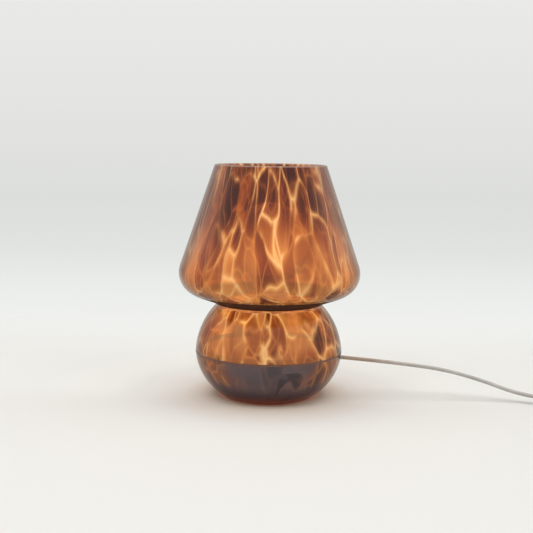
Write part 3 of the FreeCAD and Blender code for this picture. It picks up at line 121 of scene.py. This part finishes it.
# ---- node graphs -------------------------------------------------------------------------------------
class Graph:
    """The node tree of a new material, or of the world, with short calls for the nodes used here."""

    def __init__(self, name, world=False):
        kept_in = bpy.data.worlds if world else bpy.data.materials
        self.owner = kept_in.new(name)
        self.owner.use_nodes = True
        self.tree = self.owner.node_tree
        self.tree.nodes.clear()
        self.output = self.tree.nodes.new("ShaderNodeOutputWorld" if world else "ShaderNodeOutputMaterial")

    def put(self, socket, value):
        if isinstance(value, bpy.types.NodeSocket):
            self.tree.links.new(value, socket)
        else:
            socket.default_value = value

    def node(self, kind, inputs=(), **settings):
        made = self.tree.nodes.new("ShaderNode" + kind)
        for key, value in settings.items():
            setattr(made, key, value)
        for key, value in dict(inputs).items():
            self.put(made.inputs[key], value)
        return made

    def math(self, operation, *values, clamp=False):
        made = self.node("Math", enumerate(values), operation=operation, use_clamp=clamp)
        return made.outputs[0]

    def vector(self, operation, a, b):
        return self.node("VectorMath", {0: a, 1: b}, operation=operation).outputs[0]

    def place(self):
        """The point's own coordinates, which go with the piece when it moves."""
        return self.node("TexCoord").outputs["Object"]

    def radius(self, x, y):
        """Distance from the lamp's axis."""
        return self.math("SQRT", self.math("ADD", self.math("MULTIPLY", x, x), self.math("MULTIPLY", y, y)))

    def facing(self):
        """0 where the surface is seen square on, up to 1 where it is grazed."""
        return self.node("LayerWeight", {"Blend": 0.5}).outputs["Facing"]

    def looked_at(self):
        """1 for what is seen straight, mirrored or through glass, 0 for the light that falls on things."""
        path = self.node("LightPath").outputs
        beyond = self.math("MAXIMUM", path["Is Glossy Ray"], path["Is Transmission Ray"])
        return self.math("MAXIMUM", path["Is Camera Ray"], beyond)

    def split(self, vector):
        return self.node("SeparateXYZ", {0: vector}).outputs

    def join(self, x, y, z):
        return self.node("CombineXYZ", {0: x, 1: y, 2: z}).outputs[0]

    def noise(self, vector, scale, detail=3.0, roughness=0.5):
        inputs = {"Vector": vector, "Scale": scale, "Detail": detail, "Roughness": roughness}
        return self.node("TexNoise", inputs).outputs

    def voronoi(self, vector, scale, feature="F1", **more):
        return self.node("TexVoronoi", {"Vector": vector, "Scale": scale, **more}, feature=feature).outputs

    def fade(self, value, low, high, to_low=0.0, to_high=1.0):
        """Smooth step of a value between two limits."""
        inputs = {"Value": value, "From Min": low, "From Max": high, "To Min": to_low, "To Max": to_high}
        return self.node("MapRange", inputs, interpolation_type="SMOOTHSTEP").outputs[0]

    def blend(self, factor, a, b, mode="MIX"):
        made = self.node("Mix", data_type="RGBA", blend_type=mode)
        self.put(made.inputs[0], factor)
        self.put(made.inputs[6], a)
        self.put(made.inputs[7], b)
        return made.outputs[2]

    def ramp(self, factor, *stops):
        made = self.node("ValToRGB", {0: factor})
        elements = made.color_ramp.elements
        elements[0].position, elements[0].color = stops[0]
        elements[1].position, elements[1].color = stops[-1]
        for position, colour in stops[1:-1]:
            elements.new(position).color = colour
        return made.outputs[0]

    def bump(self, height, strength, distance):
        return self.node("Bump", {"Height": height, "Strength": strength, "Distance": distance}).outputs[0]

    def principled(self, inputs):
        return self.node("BsdfPrincipled", inputs)

    def finish(self, shader):
        self.put(self.output.inputs[0], shader.outputs[0])
        return self.owner


def rgb(red, green, blue):
    return (red, green, blue, 1.0)


BACKDROP_TONES = [
    (0.06, rgb(0.91, 0.91, 0.88)), (0.36, rgb(0.81, 0.83, 0.81)), (0.70, rgb(0.72, 0.73, 0.71)),
    (1.0, rgb(0.83, 0.83, 0.81)),
]


# ---- camera ------------------------------------------------------------------------------------------
def make_camera():
    data = bpy.data.cameras.new("camera")
    camera = bpy.data.objects.new("camera", data)
    bpy.context.scene.collection.objects.link(camera)
    data.sensor_width = 36.0
    data.lens = data.sensor_width * FOCAL_PIXELS / FRAME_PIXELS
    data.shift_x = -CENTRE_OFFSET[0] / FRAME_PIXELS
    data.shift_y = -CENTRE_OFFSET[1] / FRAME_PIXELS
    forward = Vector((0, math.cos(CAMERA_PITCH), -math.sin(CAMERA_PITCH)))
    level_up = Vector((0, math.sin(CAMERA_PITCH), math.cos(CAMERA_PITCH)))
    level_right = Vector((1, 0, 0))
    right = level_right * math.cos(CAMERA_ROLL) + level_up * math.sin(CAMERA_ROLL)
    up = level_up * math.cos(CAMERA_ROLL) - level_right * math.sin(CAMERA_ROLL)
    turn = Matrix((right, up, -forward)).transposed().to_4x4()
    camera.matrix_world = Matrix.Translation(CAMERA_PLACE) @ turn
    bpy.context.scene.camera = camera


# ---- cord --------------------------------------------------------------------------------------------
def coil_nodes():
    """Ends of the half turns: in on the floor, then out on top, half a turn's width further in."""
    inward = [COIL_RADIUS - COIL_STEP * i for i in range(COIL_HALF_TURNS + 1)]
    nodes = []
    for i, radius in enumerate(inward + inward[:0:-1]):
        side = 1 if i % 2 == 0 else -1
        height = FLOOR_LAYER if i <= COIL_HALF_TURNS else UPPER_LAYER
        nodes.append(Vector((COIL_CENTRE[0] + side * radius, COIL_CENTRE[1], height)))
    return nodes


def coil_points():
    """Control points round each half turn, a little outside it because the spline cuts its corners."""
    step = math.pi / POINTS_PER_HALF_TURN
    outside = 1 / math.cos(step / 2)
    nodes = coil_nodes()
    points = []
    for i, (start, end) in enumerate(zip(nodes, nodes[1:])):
        centre = (start + end) / 2
        spoke = (start - end) / 2
        radius = Vector((spoke.x, spoke.y, 0)).length * outside
        heading = 1 if i % 2 == 0 else -1
        for k in range(POINTS_PER_HALF_TURN):
            angle = (k + 0.5) * step
            x = centre.x + math.copysign(radius, spoke.x) * math.cos(angle)
            y = centre.y + heading * radius * math.sin(angle)
            z = start.z + (end.z - start.z) * (1 - math.cos(angle)) / 2
            points.append((x, y, z))
    return points


def cord_profile():
    """Cross-section of the flat two-core sheath: two round lobes with a shallow waist."""
    curve = bpy.data.curves.new("cord_profile", "CURVE")
    curve.dimensions = "2D"
    spline = curve.splines.new("NURBS")
    half_width = CORD_WIDTH / 2
    half_thickness = CORD_THICKNESS / 2
    quarter = [(1.06, 0.0), (1.04, 0.72), (0.62, 1.16), (0.22, 1.0), (0.0, 0.78)]
    right = quarter + [(x, -y) for x, y in quarter[:0:-1]]
    ring = quarter + [(-x, y) for x, y in quarter[-2::-1]]
    ring += [(-x, -y) for x, y in quarter[1:]] + [(x, -y) for x, y in quarter[-2:0:-1]]
    spline.points.add(len(ring) - 1)
    for point, (x, y) in zip(spline.points, ring):
        point.co = (x * half_width, y * half_thickness, 0, 1)
    spline.order_u = 3
    spline.use_cyclic_u = True
    profile = bpy.data.objects.new("cord_profile", curve)
    bpy.context.scene.collection.objects.link(profile)
    profile.hide_render = True
    profile.hide_viewport = True
    return profile


def make_cord():
    curve = bpy.data.curves.new("cord", "CURVE")
    curve.dimensions = "3D"
    curve.twist_mode = "Z_UP"
    curve.resolution_u = 6
    spline = curve.splines.new("NURBS")
    route = FIRST_STRETCH + SECOND_STRETCH + coil_points() + LAST_STRETCH
    spline.points.add(len(route) - 1)
    for point, place in zip(spline.points, route):
        point.co = (*place, 1)
    spline.order_u = 3
    spline.use_endpoint_u = True
    curve.bevel_mode = "OBJECT"
    curve.bevel_object = cord_profile()
    curve.use_fill_caps = True
    cord = bpy.data.objects.new("cord", curve)
    bpy.context.scene.collection.objects.link(cord)
    curve.materials.append(sheath_material())
    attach(cord, "base")
    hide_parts("cord_run_a", "cord_run_b", "cord_coil", "cord_run_c")


# ---- materials ---------------------------------------------------------------------------------------
def cell_field(g):
    """Coordinates in which the glass's cells are about one unit wide, tall on the shade, short below."""
    x, y, z = g.split(g.place())
    radius = g.radius(x, y)
    above = g.math("MULTIPLY", g.math("MAXIMUM", g.math("SUBTRACT", z, WAIST), 0.0), CELLS_UP_SHADE)
    below = g.math("MULTIPLY", g.math("MINIMUM", g.math("SUBTRACT", z, WAIST), 0.0), CELLS_UP_BASE)
    beneath = g.math("MULTIPLY", g.fade(z, *BENEATH_FADES[0]), g.fade(z, *BENEATH_FADES[1]))
    inward = g.math("MULTIPLY", g.math("SUBTRACT", radius, UNDERSIDE_EDGE), CELLS_BENEATH)
    inward = g.math("MULTIPLY", inward, beneath)
    height = g.math("ADD", g.math("ADD", above, below), g.math("ADD", inward, CELL_SEED))
    round_count = g.fade(z, *ROUND_FADE, CELLS_ROUND_BASE / (2 * math.pi), CELLS_ROUND_SHADE / (2 * math.pi))
    turn = g.math("DIVIDE", round_count, g.math("MAXIMUM", radius, 0.005))
    column = g.join(g.math("MULTIPLY", x, turn), g.math("MULTIPLY", y, turn), height)
    sway = g.vector("SUBTRACT", g.noise(column, 0.7, 1.0)["Color"], (0.5, 0.5, 0.5))
    return z, column, g.vector("ADD", column, g.vector("MULTIPLY", sway, (1.5, 1.5, 0.8)))


def cell_lines(g, column, moved):
    """Bright lines between the cells with brighter knots where they meet, and each cell's own depth, which
    colour the glass's painted glow.
    """
    nearest = g.voronoi(moved, 1.0, "F1")
    softened = g.voronoi(moved, 1.0, "SMOOTH_F1", Smoothness=0.8)["Distance"]
    glow = g.math("MULTIPLY", g.math("SUBTRACT", nearest["Distance"], softened), 4.6, clamp=True)
    glow = g.math("POWER", glow, 1.4)
    strength = g.fade(g.noise(column, 0.9, 2.0)["Fac"], 0.38, 0.60)
    line = thin_line(g, moved, g.fade(strength, 0.0, 1.0, 0.06, 0.12))
    line = g.math("MULTIPLY", line, g.fade(strength, 0.0, 1.0, 0.15, 1.0))
    finer = g.vector("ADD", g.vector("MULTIPLY", moved, (1.25, 1.25, 1.1)), (4.1, 7.7, 2.3))
    faint = g.math("MULTIPLY", thin_line(g, finer, 0.10), g.fade(strength, 0.0, 1.0, 0.65, 0.35))
    core = g.fade(nearest["Distance"], 0.10, 0.55, 0.16, -0.12)
    depth = g.math("ADD", g.split(nearest["Color"])[0], core, clamp=True)
    return line, faint, g.math("MULTIPLY", glow, g.fade(strength, 0.0, 1.0, 0.5, 1.0)), depth


def thin_line(g, cells, width):
    """One on the border between two cells, fading to nothing at the given distance from it."""
    edge = g.voronoi(cells, 1.0, "DISTANCE_TO_EDGE")["Distance"]
    near = g.math("SUBTRACT", 1.0, g.math("DIVIDE", edge, width), clamp=True)
    return g.math("MULTIPLY", near, near)


def shade_glass():
    g = Graph("shade_glass")
    z, column, moved = cell_field(g)
    line, faint, glow, depth = cell_lines(g, column, moved)
    # painted shade: darker cells and redder lines towards the top of the shade
    high = g.fade(z, *TOP_SHADE_FADE)
    contrast = g.fade(z, *CONTRAST_FADE, 0.55, 0.9)
    dark = g.math("ADD", g.math("MULTIPLY", depth, contrast), g.math("MULTIPLY", high, 0.6), clamp=True)
    # painted shade: darker glass just above the seam, over the tray
    dark = g.math("ADD", dark, g.fade(z, *SEAM_SHADE_FADE, 0.0, 0.22), clamp=True)
    # painted shade in the waist's crease: nearly black glow, dark see-through colour and a weaker mirror
    waist = g.math("MULTIPLY", g.fade(z, *WAIST_SHADE_FADES[0]), g.fade(z, *WAIST_SHADE_FADES[1]))
    # colours of the shade glass's painted glow: cells, then glowing knots, faint lines and bright lines
    cell = g.ramp(dark, (0.0, rgb(0.50, 0.21, 0.065)), (0.3, rgb(0.32, 0.10, 0.024)),
                  (0.6, rgb(0.115, 0.025, 0.009)), (1.0, rgb(0.035, 0.007, 0.005)))
    light = g.blend(glow, cell, g.blend(high, rgb(0.90, 0.34, 0.055), rgb(0.78, 0.23, 0.030)))
    light = g.blend(faint, light, g.blend(high, rgb(0.82, 0.36, 0.09), rgb(0.60, 0.18, 0.035)))
    light = g.blend(line, light, g.blend(glow, rgb(0.95, 0.44, 0.12), rgb(1.0, 0.72, 0.34)))
    facing = g.facing()
    # painted reflection: a pale veil of the bright surroundings on the grazed sides of the shade
    painted_side_reflection = g.math("MULTIPLY", g.fade(facing, 0.15, 0.60, 0.0, 0.5), g.fade(z, *SIDE_REFLECTION_FADE))
    light = g.blend(painted_side_reflection, light, rgb(0.42, 0.30, 0.24))
    # painted highlight: a pale line along the top of the rim
    light = g.blend(g.fade(z, *RIM_HIGHLIGHT_FADE, 0.0, 0.6), light, rgb(0.66, 0.48, 0.40))
    light = g.blend(g.math("MULTIPLY", waist, 0.97), light, rgb(0.022, 0.008, 0.009))
    tint = g.ramp(dark, (0.0, rgb(0.90, 0.62, 0.38)), (0.5, rgb(0.70, 0.36, 0.19)),
                  (1.0, rgb(0.42, 0.18, 0.11)))
    tint = g.blend(glow, tint, rgb(0.97, 0.70, 0.42))
    tint = g.blend(line, tint, rgb(1.0, 0.88, 0.66))
    tint = g.blend(waist, tint, rgb(0.07, 0.03, 0.03))
    return glass(g, tint, light, waist)


def bowl_glass():
    g = Graph("bowl_glass")
    z, column, moved = cell_field(g)
    line, faint, glow, depth = cell_lines(g, column, moved)
    facing = g.facing()
    # painted light: the bowl's cells, glow and lines turn lit orange where it is grazed at its sides
    painted_side_light = g.math("MULTIPLY", g.fade(facing, 0.18, 0.48), g.fade(z, *BOWL_SIDE_LIGHT_FADE))
    # painted shade below the tray: dim grey cells, the grey a painted reflection of the surroundings
    cell = g.blend(depth, rgb(0.105, 0.092, 0.105), rgb(0.036, 0.036, 0.050))
    side_lit_cell = g.blend(depth, rgb(0.30, 0.105, 0.035), rgb(0.060, 0.030, 0.022))
    cell = g.blend(g.math("MULTIPLY", painted_side_light, 0.8), cell, side_lit_cell)
    # painted shade, darker towards the bowl's bottom
    cell = g.blend(g.fade(z, *BOWL_BOTTOM_SHADE_FADE), cell, rgb(0.022, 0.019, 0.028))
    lit_glow = g.math("MULTIPLY", glow, g.fade(painted_side_light, 0.0, 1.0, 0.05, 0.9))
    light = g.blend(lit_glow, cell, rgb(0.62, 0.21, 0.05))
    lit_line = g.math("MULTIPLY", g.math("MAXIMUM", line, faint), g.fade(painted_side_light, 0.0, 1.0, 0.03, 0.9))
    light = g.blend(lit_line, light, rgb(0.90, 0.38, 0.10))
    # painted glow: a red-orange line of light along the foot's lower edge
    light = g.blend(g.math("MULTIPLY", g.fade(z, *FOOT_GLOW_FADE), 0.7), light, rgb(0.50, 0.08, 0.015))
    tint = g.blend(depth, rgb(0.62, 0.36, 0.22), rgb(0.25, 0.13, 0.09))
    tint = g.blend(glow, tint, rgb(0.9, 0.55, 0.3))
    return glass(g, tint, light, 0.0)


def glass(g, tint, light, crease_shade):
    """Polished stained glass: clear part, a part with painted glow that stands in for the bulb's light in the
    glass, and a mirror that grows when grazed.
    """
    facing = g.facing()
    thick = g.fade(facing, 0.45, 1.0, 0.0, 0.75)
    light = g.blend(thick, light, rgb(0.05, 0.028, 0.022))
    tint = g.blend(thick, tint, rgb(0.30, 0.22, 0.18))
    clear = g.node("BsdfTransparent", {"Color": tint})
    # the emitted colour is painted glow, because the glass is no lamp
    body = g.principled({
        "Base Color": rgb(0.035, 0.016, 0.010), "Roughness": 0.4, "Specular IOR Level": 0.0,
        "Emission Color": light, "Emission Strength": GLASS_GLOW})
    stained = g.node("MixShader", {0: GLASS_BODY, 1: clear.outputs[0], 2: body.outputs[0]})
    mirror = g.math("ADD", MIRROR_STRAIGHT, g.math("MULTIPLY", g.math("POWER", facing, 5.0), MIRROR_GRAZED))
    # the mirror is weaker where the crease is painted in shade
    mirror = g.math("MULTIPLY", mirror, g.math("SUBTRACT", 1.0, g.math("MULTIPLY", crease_shade, 0.9)))
    gloss = g.node("BsdfGlossy", {"Color": rgb(1.0, 1.0, 1.0), "Roughness": 0.03})
    return g.finish(g.node("MixShader", {0: mirror, 1: stained.outputs[0], 2: gloss.outputs[0]}))


def opal_lit():
    """Lit opal glass: brighter below and dimmer towards its outline."""
    g = Graph("opal_lit")
    place = g.place()
    z = g.split(place)[2]
    facing = g.facing()
    colour = g.blend(g.fade(z, 0.13, 0.20), rgb(0.95, 0.58, 0.30), rgb(0.26, 0.10, 0.04))
    colour = g.blend(g.fade(facing, 0.05, 0.8), colour, rgb(0.30, 0.10, 0.035))
    colour = g.blend(g.math("MULTIPLY", g.noise(place, 40.0, 3.0)["Fac"], 0.2), colour, rgb(1.0, 0.75, 0.5))
    return g.finish(g.principled({
        "Base Color": rgb(0.6, 0.52, 0.42), "Roughness": 0.35,
        "Emission Color": colour, "Emission Strength": 0.8}))


def plain(name, light, dark, roughness, metallic=0.0, grain=400.0, relief=0.15, coat=0.0):
    """Smooth moulded or cast surface: fine mottling, uneven gloss and a light grain."""
    g = Graph(name)
    place = g.place()
    broad = g.noise(place, grain / 8, 4.0)["Fac"]
    fine = g.noise(place, grain, 5.0, 0.6)["Fac"]
    colour = g.blend(g.fade(broad, 0.3, 0.7), dark, light)
    rough = g.fade(fine, 0.25, 0.75, roughness * 0.85, min(1.0, roughness * 1.2))
    return g.finish(g.principled({
        "Base Color": colour, "Roughness": rough, "Metallic": metallic, "Coat Weight": coat,
        "Normal": g.bump(fine, relief, 0.0002)}))


def threaded(name, light, dark, pitch):
    """Turned metal with a fine screw thread along the lamp's axis."""
    g = Graph(name)
    place = g.place()
    z = g.split(place)[2]
    ridge = g.math("PINGPONG", z, pitch / 2)
    stain = g.noise(place, 90.0, 4.0)["Fac"]
    colour = g.blend(g.fade(stain, 0.3, 0.7), dark, light)
    return g.finish(g.principled({
        "Base Color": colour, "Roughness": g.fade(stain, 0.2, 0.8, 0.22, 0.4), "Metallic": 1.0,
        "Normal": g.bump(g.math("DIVIDE", ridge, pitch), 0.8, pitch / 2)}))


def tray_sheet():
    """Cream lacquered sheet, left dark on the narrow edge that shows in the seam."""
    g = Graph("cream_sheet")
    place = g.place()
    x, y, z = g.split(place)
    radius = g.radius(x, y)
    stain = g.fade(g.noise(place, 60.0, 4.0)["Fac"], 0.3, 0.7)
    fine = g.noise(place, 500.0, 4.0)["Fac"]
    lacquer = g.blend(stain, rgb(0.78, 0.64, 0.44), rgb(0.68, 0.54, 0.36))
    colour = g.blend(g.fade(radius, *TRAY_EDGE_FADE), lacquer, rgb(0.14, 0.055, 0.035))
    return g.finish(g.principled({
        "Base Color": colour, "Roughness": g.fade(fine, 0.25, 0.75, 0.38, 0.54),
        "Normal": g.bump(fine, 0.25, 0.0002)}))


def sheath_material():
    g = Graph("cord_sheath")
    place = g.place()
    x = g.split(place)[0]
    stain = g.noise(place, 70.0, 4.0)["Fac"]
    grey = g.blend(g.fade(stain, 0.3, 0.7), rgb(0.40, 0.375, 0.345), rgb(0.50, 0.475, 0.44))
    # painted glow: the sheath is a warmer brown near the lamp, from the lamp's light, and grey further out
    warm = g.blend(g.fade(stain, 0.3, 0.7), rgb(0.42, 0.29, 0.20), rgb(0.52, 0.38, 0.28))
    colour = g.blend(g.fade(x, 0.08, 0.16), warm, grey)
    return g.finish(g.principled({
        "Base Color": colour, "Roughness": 0.32, "Coat Weight": 0.3,
        "Normal": g.bump(g.noise(place, 900.0, 2.0)["Fac"], 0.1, 0.0001)}))


def finishes():
    """Material of every CAD node that stays in sight."""
    brass = plain("brass", rgb(0.72, 0.52, 0.22), rgb(0.55, 0.37, 0.13), 0.28, 1.0, 500.0)
    brass_thread = threaded("brass_thread", rgb(0.72, 0.52, 0.22), rgb(0.55, 0.37, 0.13), 0.001)
    zinc = plain("zinc_steel", rgb(0.62, 0.62, 0.60), rgb(0.45, 0.46, 0.47), 0.35, 1.0, 700.0)
    rubber = plain("black_rubber", rgb(0.045, 0.043, 0.042), rgb(0.02, 0.02, 0.02), 0.75, 0.0, 900.0, 0.3)
    seal = plain("clear_seal", rgb(0.22, 0.095, 0.058), rgb(0.16, 0.07, 0.042), 0.4, 0.0, 600.0)
    black = plain("black_plastic", rgb(0.035, 0.034, 0.036), rgb(0.02, 0.02, 0.022), 0.3, 0.0, 800.0)
    white = plain("white_plastic", rgb(0.84, 0.83, 0.80), rgb(0.76, 0.75, 0.71), 0.35, 0.0, 800.0)
    clear = plain("clear_plastic", rgb(0.70, 0.68, 0.64), rgb(0.58, 0.56, 0.52), 0.22, 0.0, 700.0, 0.1, 0.4)
    ceramic = plain("ceramic_white", rgb(0.83, 0.80, 0.74), rgb(0.74, 0.70, 0.63), 0.5, 0.0, 500.0, 0.3)
    nickel = plain("nickel", rgb(0.72, 0.71, 0.68), rgb(0.56, 0.55, 0.52), 0.2, 1.0, 600.0)
    nickel_thread = threaded("nickel_thread", rgb(0.72, 0.71, 0.68), rgb(0.56, 0.55, 0.52), 0.003629)
    iron = plain("cast_iron", rgb(0.05, 0.05, 0.053), rgb(0.022, 0.022, 0.024), 0.6, 0.3, 300.0, 0.8)
    board = plain("board", rgb(0.86, 0.86, 0.84), rgb(0.78, 0.78, 0.74), 0.4, 0.0, 900.0)
    brown = plain("wire_brown", rgb(0.28, 0.15, 0.08), rgb(0.2, 0.1, 0.05), 0.35, 0.0, 800.0)
    return {
        shade_glass(): ["glass_shade"],
        bowl_glass(): ["glass_bowl"],
        opal_lit(): ["bulb_globe"],
        brass: ["stem_lower_nut", "stem_washer", "stem_upper_nut", "holder_locknut", "thread_contact",
                "centre_contact", "switch_contacts"],
        brass_thread: ["stem_tube"],
        zinc: ["bottom_bolt", "bottom_steel_washer", "tray_screws", "terminal_screws", "cord_clamp",
               "cord_clamp_screws", "switch_screws"],
        rubber: ["ballast_pad", "bottom_rubber_washer", "cord_grommet"],
        seal: ["upper_gasket", "lower_gasket", "foot_ring"],
        black: ["bulb_insulator"],
        white: ["holder_cap", "holder_shell", "bulb_housing", "switch_rocker"],
        clear: ["switch_lower_shell", "switch_upper_shell", "plug_body"],
        ceramic: ["holder_insert"],
        nickel: ["bulb_tip_contact", "plug_pins"],
        nickel_thread: ["bulb_cap"],
        iron: ["ballast_weight"],
        tray_sheet(): ["tray"],
        board: ["led_board", "driver_board"],
        brown: ["lead_wires"],
        bpy.data.materials["cord_sheath"]: ["cord_inner"],
    }


def dress_nodes():
    for material, names in finishes().items():
        for name in names:
            for slot in NODES[name].material_slots:
                slot.material = material


# ---- stage -------------------------------------------------------------------------------------------
def floor_material():
    """Pale floor with painted light round the lit lamp, a little warm close to it and lighter at its sides,
    where it fills the lamp's shadow, less so in front; it turns into a softly graded backdrop.
    """
    g = Graph("stage")
    x, y, z = g.split(g.place())
    around = g.radius(x, y)
    outward = g.math("DIVIDE", around, 0.25)
    # painted light on the floor: a warm glow next to the lamp, then a lighter ring that fills the lamp's
    # shadow at its sides
    side_glow_and_fill = g.ramp(outward, (0.16, rgb(0.98, 0.70, 0.50)), (0.36, rgb(0.98, 0.93, 0.86)),
                    (0.55, rgb(0.81, 0.80, 0.76)), (1.0, rgb(0.74, 0.735, 0.705)))
    # in front the painted glow is dimmer, so the lamp's shadow stays darker there
    before = g.ramp(outward, (0.16, rgb(0.80, 0.60, 0.45)), (0.30, rgb(0.73, 0.645, 0.565)),
                    (0.48, rgb(0.71, 0.69, 0.655)), (1.0, rgb(0.71, 0.70, 0.67)))
    colour = g.blend(g.fade(y, -0.06, 0.03), before, side_glow_and_fill)
    grain = g.noise(g.place(), 300.0, 4.0)["Fac"]
    floor = g.principled({
        "Base Color": g.blend(g.math("MULTIPLY", grain, 0.03), colour, rgb(0.7, 0.7, 0.7)),
        "Roughness": 0.9, "Specular IOR Level": 0.1})
    along = g.math("DIVIDE", g.math("ADD", y, z), BACKDROP_SPAN)
    seen = g.ramp(along, *BACKDROP_TONES)
    backdrop = g.node("Emission", {"Color": seen, "Strength": 1.0})
    away = g.math("MAXIMUM", g.fade(g.math("ADD", y, z), *BACKDROP_BEGINS), g.fade(around, *FLOOR_FADES))
    far = g.math("MULTIPLY", g.looked_at(), away)
    return g.finish(g.node("MixShader", {0: far, 1: floor.outputs[0], 2: backdrop.outputs[0]}))


def make_stage():
    """Floor that curves up into a wall behind the lamp, beyond the place of every view's camera."""
    bend = 0.40
    wall = 1.60
    steps = 12
    outline = [(-2.6, 0.0), (-1.0, 0.0), (0.0, 0.0), (wall - bend, 0.0)]
    for i in range(1, steps + 1):
        angle = math.pi / 2 * i / steps
        outline.append((wall - bend + bend * math.sin(angle), bend - bend * math.cos(angle)))
    outline += [(wall, 1.2), (wall, 3.4)]
    half = 2.6
    vertices = [(side * half, y, z) for y, z in outline for side in (-1, 1)]
    faces = [(2 * i, 2 * i + 1, 2 * i + 3, 2 * i + 2) for i in range(len(outline) - 1)]
    mesh = bpy.data.meshes.new("stage")
    mesh.from_pydata(vertices, [], faces)
    mesh.shade_smooth()
    mesh.materials.append(floor_material())
    stage = bpy.data.objects.new("stage", mesh)
    bpy.context.scene.collection.objects.link(stage)


def make_world():
    """Light of bright walls round the lamp, of a dim front and a dim ceiling, with an even pale look."""
    g = Graph("studio", world=True)
    x, y, z = g.split(g.node("TexCoord").outputs["Generated"])
    front = g.fade(g.math("ADD", y, g.math("MULTIPLY", x, FRONT_SKEW)), *FRONT_FADE, 1.0, FRONT_LIGHT)
    ceiling = g.fade(z, *CEILING_FADE, 1.0, CEILING_LIGHT)
    lit = g.math("MULTIPLY", g.math("MULTIPLY", front, ceiling), WALL_LIGHT)
    looked_at = g.looked_at()
    unseen = g.math("MULTIPLY", lit, g.math("SUBTRACT", 1.0, looked_at))
    seen = g.math("MULTIPLY", looked_at, SEEN_BACKGROUND)
    background = g.node("Background", {"Color": rgb(1.0, 1.0, 1.0), "Strength": g.math("ADD", unseen, seen)})
    bpy.context.scene.world = g.finish(background)


def area_light(name, place, aim, size, power, mirrored=True):
    data = bpy.data.lights.new(name, "AREA")
    data.shape = "RECTANGLE"
    data.size, data.size_y = size
    data.energy = power
    light = bpy.data.objects.new(name, data)
    bpy.context.scene.collection.objects.link(light)
    light.location = place
    light.rotation_mode = "QUATERNION"
    light.rotation_quaternion = (Vector(aim) - Vector(place)).to_track_quat("-Z", "Y")
    light.visible_glossy = mirrored


def make_lights():
    make_world()
    area_light("ceiling_light", (0.0, -0.3, 1.7), (0, 0.1, 0), (2.4, 2.0), 34.0, mirrored=False)
    area_light("lamp_spot", (-0.75, -0.9, 1.6), (0, 0, 0.08), (0.12, 0.12), 1.5)


make_camera()
make_cord()
dress_nodes()
make_stage()
make_lights()
bpy.context.scene.view_settings.view_transform = "Standard"
